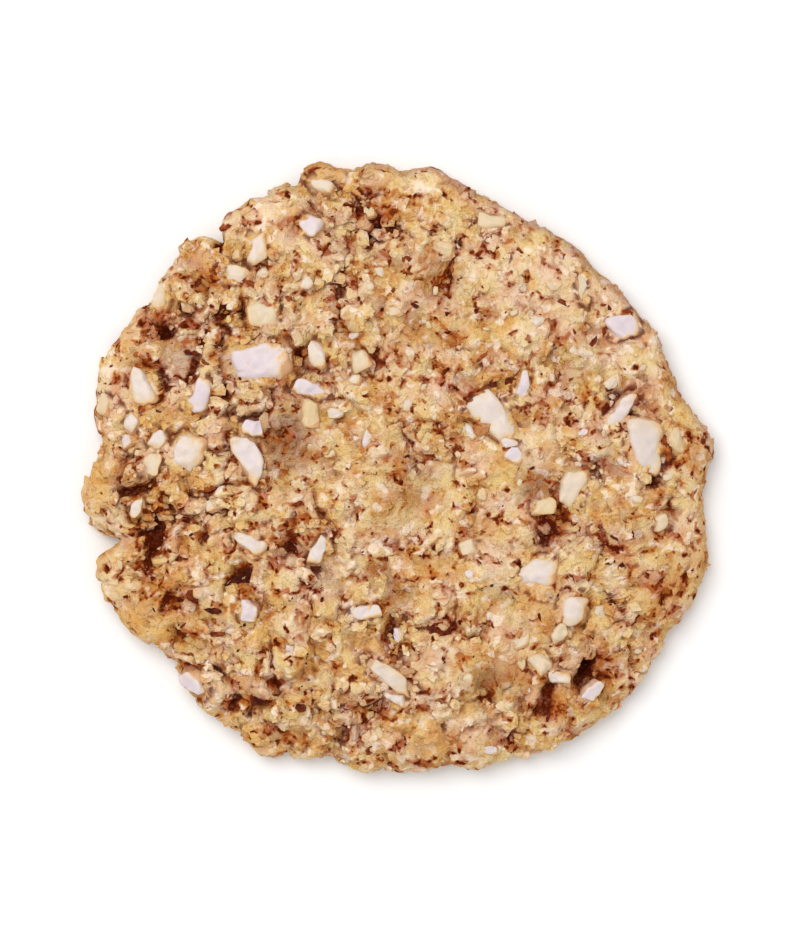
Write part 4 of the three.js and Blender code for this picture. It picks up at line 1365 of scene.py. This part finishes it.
def smeared_dough(tree, look, field):
    """Socket of the dough's colour: tones, smears of other hues, soft places over them, and painted shade.
    """
    colour = ramp(tree, field["tone"], look, DOUGH_STOPS)
    smears = (
        (field["hue"], PINK_RANGE, PINK_SHARE, look.pink),
        (field["hue"], YELLOW_RANGE, YELLOW_SHARE, look.yellow),
        (field["red"], RED_RANGE, RED_SHARE, look.red),
        (field["red"], STRAW_RANGE, STRAW_SHARE, look.straw),
        (field["pale"], PALE_RANGE, PALE_SHARE, look.pale_speck),
    )
    colour = covered(tree, colour, smears)
    colour = laid_over(tree, colour, field["toast"], TOAST_SHARE, solid(look.toasted))
    stained = number(tree, "MAXIMUM", field["stained"], 0.0)
    colour = laid_over(tree, colour, stained, STAINED_SHARE, solid(look.stain))
    # A mauve wash of painted shade over low dough, one edge and the dips, which are partly moist dough.
    dip = number(tree, "MULTIPLY", field["dip"], DIP_SHARE)
    low = number(tree, "MULTIPLY", remap(tree, field["tint"], *LOW_SHADE_RANGE), LOW_SHADE_SHARE)
    shade_wash = number(tree, "MAXIMUM", dip, low)
    return mix_colour(tree, shade_wash, colour, solid(look.mauve), "MULTIPLY")


def specked_dough(tree, place, look, field, colour):
    """Socket of the dough's colour with skin specks and pinholes of painted shade where brown has soaked in.
    """
    gathered = remap(tree, field["soak"], *SPECK_RANGE)
    specks = speckle(tree, place, *SPECKS)
    mask = number(tree, "MULTIPLY", specks["Mask"], gathered)
    colour = laid_over(tree, colour, mask, SPECK_SHARE, ramp(tree, specks["Tone"], look, SPECK_STOPS))
    mask = number(tree, "MULTIPLY", speckle(tree, place, *PINHOLES)["Mask"], gathered)
    return laid_over(tree, colour, mask, PINHOLE_SHARE, solid(look.dark_speck))


def dough_material(look):
    """Baked dough: smeared tan, gold, pink and cream, brown stains round cracks of painted shade, mauve
    dips.
    """
    found = bpy.data.materials.get("baked_dough")
    if found:
        return found
    material, tree, shader, place = new_material("baked_dough")
    field = dough_fields(tree, place)
    redder = remap(tree, field["hue"], *MAROON_RANGE)
    stain = mix_colour(tree, redder, solid(look.stain), solid(look.rust))
    shade_brown = mix_colour(tree, redder, solid(look.shade_brown), solid(look.shade_maroon))
    deepest_shade = solid(look.deepest_shade)

    colour = smeared_dough(tree, look, field)
    colour = laid_over(tree, colour, remap(tree, field["soak"], *STAIN_RANGE), STAIN_SHARE, stain)
    # Painted shade in fine cracks, darkest at their bottom.
    colour = laid_over(tree, colour, field["crack"], CRACK_SHARE, shade_brown)
    colour = laid_over(tree, colour, remap(tree, field["depth"], *DEPTH_RANGE), DEPTH_SHARE, deepest_shade)
    colour = specked_dough(tree, place, look, field, colour)
    # Painted shade in gaps, pits and round the almonds.
    shadow = mix_colour(tree, remap(tree, field["open"], *GAP_STAIN_RANGE), stain, shade_brown)
    shadow = mix_colour(tree, remap(tree, field["open"], *GAP_DEEP_RANGE), shadow, deepest_shade)
    colour = mix_colour(tree, field["open"], colour, shadow)
    finish(tree, shader, colour, DOUGH_FINISH)
    add_bump(tree, shader, weighted(tree, 0.0, field, BUMP_WEIGHTS), *DOUGH_BUMP)
    return material


def almond_material(look):
    """Cut almond: lilac white to yellow, cloudy, dough stuck on it, dough and painted shade on its edges."""
    found = bpy.data.materials.get("cut_almond")
    if found:
        return found
    material, tree, shader, place = new_material("cut_almond")
    field = {name: grain(tree, place, size) for name, size in ALMOND_NOISES.items()}
    field.update({name: mark(tree, name) for name in ALMOND_MARKS})
    spread = weighted(tree, 0.0, field, SPREAD_WEIGHTS)
    field["outer"] = remap(tree, spread, *OUTER_RANGE)
    tone = weighted(tree, ALMOND_TONE_START, field, ALMOND_TONE_WEIGHTS)
    colour = ramp(tree, tone, look, ALMOND_STOPS)
    dust = speckle(tree, place, *DUST)["Mask"]
    colour = laid_over(tree, colour, dust, DUST_SHARE, solid(look.dust))
    # Sides and the smeared edge take brown: dough dust and painted shade.
    side = number(tree, "ADD", field["side"], field["ragged"])
    covers = (
        (field["rub"], RUB_RANGE, RUB_SHARE, look.dust),
        (spread, SMEAR_RANGE, SMEAR_SHARE, look.dust),
        (spread, BROWN_RANGE, BROWN_SHARE, look.edge),
        (side, SIDE_DUST_SHADE_RANGE, SIDE_DUST_SHADE_SHARE, look.edge),
    )
    finish(tree, shader, covered(tree, colour, covers), ALMOND_FINISH)
    add_bump(tree, shader, field["fine"], *ALMOND_BUMP)
    return material


def skin_material(look):
    """Almond skin: dark purple brown to orange brown, finely wrinkled."""
    material, tree, shader, place = new_material("almond_skin")
    field = {name: grain(tree, place, size) for name, size in SKIN_NOISES.items()}
    field["tone"] = mark(tree, "tone")
    tone = weighted(tree, SKIN_TONE_START, field, SKIN_TONE_WEIGHTS)
    finish(tree, shader, ramp(tree, tone, look, SKIN_STOPS), SKIN_FINISH)
    add_bump(tree, shader, field["wrinkle"], *SKIN_BUMP)
    return material


def floor_material(look):
    """Plain pale floor with a faint grain."""
    material, tree, shader, place = new_material("pale_floor")
    shade = remap(tree, grain(tree, place, FLOOR_GRAIN), *FLOOR_GRAIN_RANGE)
    darker = solid([FLOOR_SHADE * part for part in look.floor])
    finish(tree, shader, mix_colour(tree, shade, solid(look.floor), darker), FLOOR_FINISH)
    return material


# Stage


def make_floor(scene, look):
    """A large flat square just under the cookie."""
    mesh = bpy.data.meshes.new("floor")
    signs = ((-1, -1), (1, -1), (1, 1), (-1, 1))
    corners = [(x * FLOOR_HALF, y * FLOOR_HALF, FLOOR_HEIGHT) for x, y in signs]
    mesh.from_pydata(corners, [], [(0, 1, 2, 3)])
    mesh.materials.append(floor_material(look))
    floor = bpy.data.objects.new("floor", mesh)
    scene.collection.objects.link(floor)
    return floor


def light_scene(scene, look):
    """An even white dome, one large soft lamp from the upper left, and colours shown as they are."""
    world = bpy.data.worlds.new("soft_dome")
    world.use_nodes = True
    background = world.node_tree.nodes["Background"]
    background.inputs["Color"].default_value = (1, 1, 1, 1)
    background.inputs["Strength"].default_value = look.dome_strength
    scene.world = world

    light = bpy.data.lights.new("soft_lamp", "AREA")
    light.energy = look.lamp_power
    light.size = LAMP_SIZE
    lamp = bpy.data.objects.new("soft_lamp", light)
    lamp.location = LAMP_PLACE
    lamp.rotation_euler = (-Vector(LAMP_PLACE)).to_track_quat("-Z", "Y").to_euler()
    scene.collection.objects.link(lamp)
    scene.view_settings.view_transform = "Standard"


def make_camera(scene, look):
    """A camera straight above that takes in the frame's long side at the height of the waist."""
    data = bpy.data.cameras.new("camera")
    data.lens = look.lens
    data.sensor_width = SENSOR_WIDTH
    camera = bpy.data.objects.new("camera", data)
    distance = FRAME_LONG_SIDE * look.lens / SENSOR_WIDTH
    x, y = FRAME_CENTRE
    camera.location = (x * MM, y * MM, (WAIST_HEIGHT + distance) * MM)
    scene.collection.objects.link(camera)
    return camera


# Settings that a user would change


LENGTH_DIGITS = 5


def colour_setting(name, description, default):
    """A colour that a user can pick."""
    return FloatVectorProperty(
        name=name, description=description, default=default, subtype="COLOR", size=3, min=0, max=1
    )


def length_setting(name, description, millimetres):
    """A length that a user can set, given in millimetres and kept in metres."""
    return FloatProperty(
        name=name,
        description=description,
        default=millimetres * MM,
        min=0,
        unit="LENGTH",
        precision=LENGTH_DIGITS,
    )


def count_setting(name, description, default):
    """A whole number of pieces that a user can set."""
    return IntProperty(name=name, description=description, default=default, min=1)


class DoughLook(bpy.types.PropertyGroup):
    """Sizes and colours of the baked dough and its loose crumbs"""

    lump_depth: length_setting("Lump depth", "Height of the rounded lumps over their creases", 1.15)
    step_depth: length_setting("Step depth", "Steps between neighbouring crumbs", 0.6)
    gap_depth: length_setting("Crease depth", "Depth of the open creases between lumps", 0.9)
    grain_depth: length_setting("Grain depth", "Height of the finest grain", 0.07)
    crumb_count: count_setting("Crumbs", "Crumbs tried over the surface", 2600)
    crumb_min: length_setting("Smallest crumb", "Length of the smallest loose crumb", 0.7)
    crumb_max: length_setting("Largest crumb", "Length of the largest loose crumb", 2.3)
    dark: colour_setting("Dark", "Lowest dough", srgb(134, 62, 20))
    brown: colour_setting("Brown", "Low dough", srgb(172, 104, 44))
    tan: colour_setting("Tan", "Darker dough", srgb(201, 144, 78))
    golden: colour_setting("Golden", "Most of the dough", srgb(214, 174, 117))
    pale: colour_setting("Pale", "Light dough", srgb(225, 193, 145))
    cream: colour_setting("Cream", "Lightest dough", srgb(232, 208, 173))
    pink: colour_setting("Pink", "Pinkish smears", srgb(221, 182, 160))
    yellow: colour_setting("Yellow", "Yellow smears", srgb(222, 182, 104))
    red: colour_setting("Red", "Reddish tan smears", srgb(207, 146, 86))
    straw: colour_setting("Straw", "Straw yellow smears", srgb(222, 196, 138))
    pale_speck: colour_setting("Pale speck", "Ground almond in the dough", srgb(240, 220, 196))
    stain: colour_setting("Stain", "Orange brown stains", srgb(176, 92, 28))
    rust: colour_setting("Rust", "Redder stains", srgb(164, 78, 34))
    # Painted shade in cracks, creases, gaps and pits, with the brown of the stain.
    shade_brown: colour_setting("Vein", "Brown of cracks and creases", srgb(132, 52, 9))
    shade_maroon: colour_setting("Maroon", "Redder cracks and creases", srgb(118, 40, 10))
    deepest_shade: colour_setting("Deepest", "Bottom of cracks, creases and pits", srgb(78, 22, 5))
    toasted: colour_setting("Toasted", "Browned places near the edge", srgb(208, 152, 74))
    # Painted shade over low dough, one edge and the dips, with the tone of moist dough in the dips.
    mauve: colour_setting("Mauve", "Wash over moist dips and the edge", srgb(172, 142, 147))
    red_speck: colour_setting("Red speck", "Lighter specks of skin", srgb(160, 76, 32))
    dark_speck: colour_setting("Dark speck", "Darker specks of skin", srgb(92, 36, 14))


class AlmondLook(bpy.types.PropertyGroup):
    """Sizes and colours of the chopped almonds"""

    bit_count: count_setting("Bits", "Small almond bits tried over the surface", 80)
    bit_min: length_setting("Smallest bit", "Length of the smallest bit", 0.6)
    bit_max: length_setting("Largest bit", "Length of the largest spread bit", 1.7)
    lilac: colour_setting("Lilac", "Coolest cut faces", srgb(211, 196, 200))
    white: colour_setting("White", "White cut faces", srgb(215, 200, 190))
    cream: colour_setting("Cream", "Cream cut faces", srgb(211, 190, 159))
    yellow: colour_setting("Yellow", "Yellowest pieces", srgb(209, 183, 139))
    dust: colour_setting("Dust", "Dough stuck to an almond", srgb(222, 182, 132))
    edge: colour_setting("Edge", "Brown edges of cut faces", srgb(196, 146, 100))


class SkinLook(bpy.types.PropertyGroup):
    """Sizes and colours of the scraps of almond skin"""

    flake_count: count_setting("Flakes", "Small flakes of skin tried over the surface", 850)
    flake_min: length_setting("Smallest flake", "Length of the smallest flake", 0.4)
    flake_max: length_setting("Largest flake", "Length of the largest spread flake", 1.2)
    flake_thickness: length_setting("Thickness", "Thickness of the skin with its crumb", 0.22)
    dark: colour_setting("Dark", "Darkest skin", srgb(58, 18, 8))
    red_brown: colour_setting("Red brown", "Most skin", srgb(104, 38, 14))
    orange_brown: colour_setting("Orange brown", "Lightest skin", srgb(160, 84, 36))


class StageLook(bpy.types.PropertyGroup):
    """Floor, light and camera"""

    floor: colour_setting("Floor", "Colour of the floor", (0.9, 0.9, 0.9))
    dome_strength: FloatProperty(
        name="Dome", description="Strength of the even light all round", default=0.82, min=0
    )
    lamp_power: FloatProperty(
        name="Lamp", description="Power of the soft overhead lamp", default=3.2, min=0, unit="POWER"
    )
    lens: FloatProperty(
        name="Lens", description="Focal length of the camera", default=250, min=20, unit="CAMERA"
    )


class CookieSettings(bpy.types.PropertyGroup):
    """All settings of the almond cookie"""

    dough: PointerProperty(type=DoughLook)
    almond: PointerProperty(type=AlmondLook)
    skin: PointerProperty(type=SkinLook)
    stage: PointerProperty(type=StageLook)


# Operators

CRUMB_SEED = 7
BIT_SEED = 11
FLAKE_SEED = 5


class COOKIE_OT_dough(bpy.types.Operator):
    """Make the baked dough in place of the plain solid"""

    bl_idname = "cookie.dough"
    bl_label = "Bake dough"

    def execute(self, context):
        look = context.scene.almond_cookie.dough
        piece = make_piece("cookie_dough", dough_surface(look), dough_material(look))
        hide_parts(COOKIE_NODE)
        return {"FINISHED"}


class COOKIE_OT_crumbs(bpy.types.Operator):
    """Scatter loose crumbs of dough over the surface"""

    bl_idname = "cookie.crumbs"
    bl_label = "Scatter crumbs"

    def execute(self, context):
        look = context.scene.almond_cookie.dough
        surface = loose_crumbs(look, CRUMB_SEED)
        make_piece("dough_crumbs", surface, dough_material(look), smooth=False)
        return {"FINISHED"}


class COOKIE_OT_almonds(bpy.types.Operator):
    """Set the large chopped almonds in the top"""

    bl_idname = "cookie.almonds"
    bl_label = "Set almonds"

    def execute(self, context):
        look = context.scene.almond_cookie.almond
        make_piece("almond_pieces", almond_pieces(), almond_material(look))
        return {"FINISHED"}


class COOKIE_OT_bits(bpy.types.Operator):
    """Scatter small almond bits over the surface"""

    bl_idname = "cookie.bits"
    bl_label = "Scatter almond bits"

    def execute(self, context):
        settings = context.scene.almond_cookie
        surface = almond_bits(settings.almond, settings.dough, BIT_SEED)
        make_piece("almond_bits", surface, almond_material(settings.almond), smooth=False)
        return {"FINISHED"}


class COOKIE_OT_skins(bpy.types.Operator):
    """Scatter scraps of almond skin over the surface"""

    bl_idname = "cookie.skins"
    bl_label = "Scatter skin flakes"

    def execute(self, context):
        settings = context.scene.almond_cookie
        surface = skin_flakes(settings.skin, settings.dough, FLAKE_SEED)
        material = skin_material(settings.skin)
        make_piece("almond_skin_flakes", surface, material, smooth=False)
        return {"FINISHED"}


class COOKIE_OT_stage(bpy.types.Operator):
    """Make the floor, the light and the camera"""

    bl_idname = "cookie.stage"
    bl_label = "Set stage"

    def execute(self, context):
        look = context.scene.almond_cookie.stage
        make_floor(context.scene, look)
        light_scene(context.scene, look)
        context.scene.camera = make_camera(context.scene, look)
        return {"FINISHED"}


class COOKIE_PT_panel(bpy.types.Panel):
    """The steps that make the cookie, with their settings"""

    bl_idname = "COOKIE_PT_panel"
    bl_label = "Almond Cookie"
    bl_space_type = "VIEW_3D"
    bl_region_type = "UI"
    bl_category = "Cookie"

    def draw(self, context):
        settings = context.scene.almond_cookie
        for look, operators in (
            (settings.dough, (COOKIE_OT_dough, COOKIE_OT_crumbs)),
            (settings.almond, (COOKIE_OT_almonds, COOKIE_OT_bits)),
            (settings.skin, (COOKIE_OT_skins,)),
            (settings.stage, (COOKIE_OT_stage,)),
        ):
            box = self.layout.box()
            for operator in operators:
                box.operator(operator.bl_idname)
            for setting in type(look).__annotations__:
                box.prop(look, setting)


CLASSES = (
    DoughLook,
    AlmondLook,
    SkinLook,
    StageLook,
    CookieSettings,
    COOKIE_OT_dough,
    COOKIE_OT_crumbs,
    COOKIE_OT_almonds,
    COOKIE_OT_bits,
    COOKIE_OT_skins,
    COOKIE_OT_stage,
    COOKIE_PT_panel,
)


def register():
    """Registers the classes and gives each scene its settings."""
    for cls in CLASSES:
        bpy.utils.register_class(cls)
    bpy.types.Scene.almond_cookie = PointerProperty(type=CookieSettings)


def unregister():
    """Takes the settings and the classes away again."""
    del bpy.types.Scene.almond_cookie
    for cls in reversed(CLASSES):
        bpy.utils.unregister_class(cls)


def main():
    """Registers the add-on and makes every piece and the stage."""
    register()
    bpy.ops.cookie.dough()
    bpy.ops.cookie.crumbs()
    bpy.ops.cookie.almonds()
    bpy.ops.cookie.bits()
    bpy.ops.cookie.skins()
    bpy.ops.cookie.stage()
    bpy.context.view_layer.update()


if __name__ == "__main__":
    main()
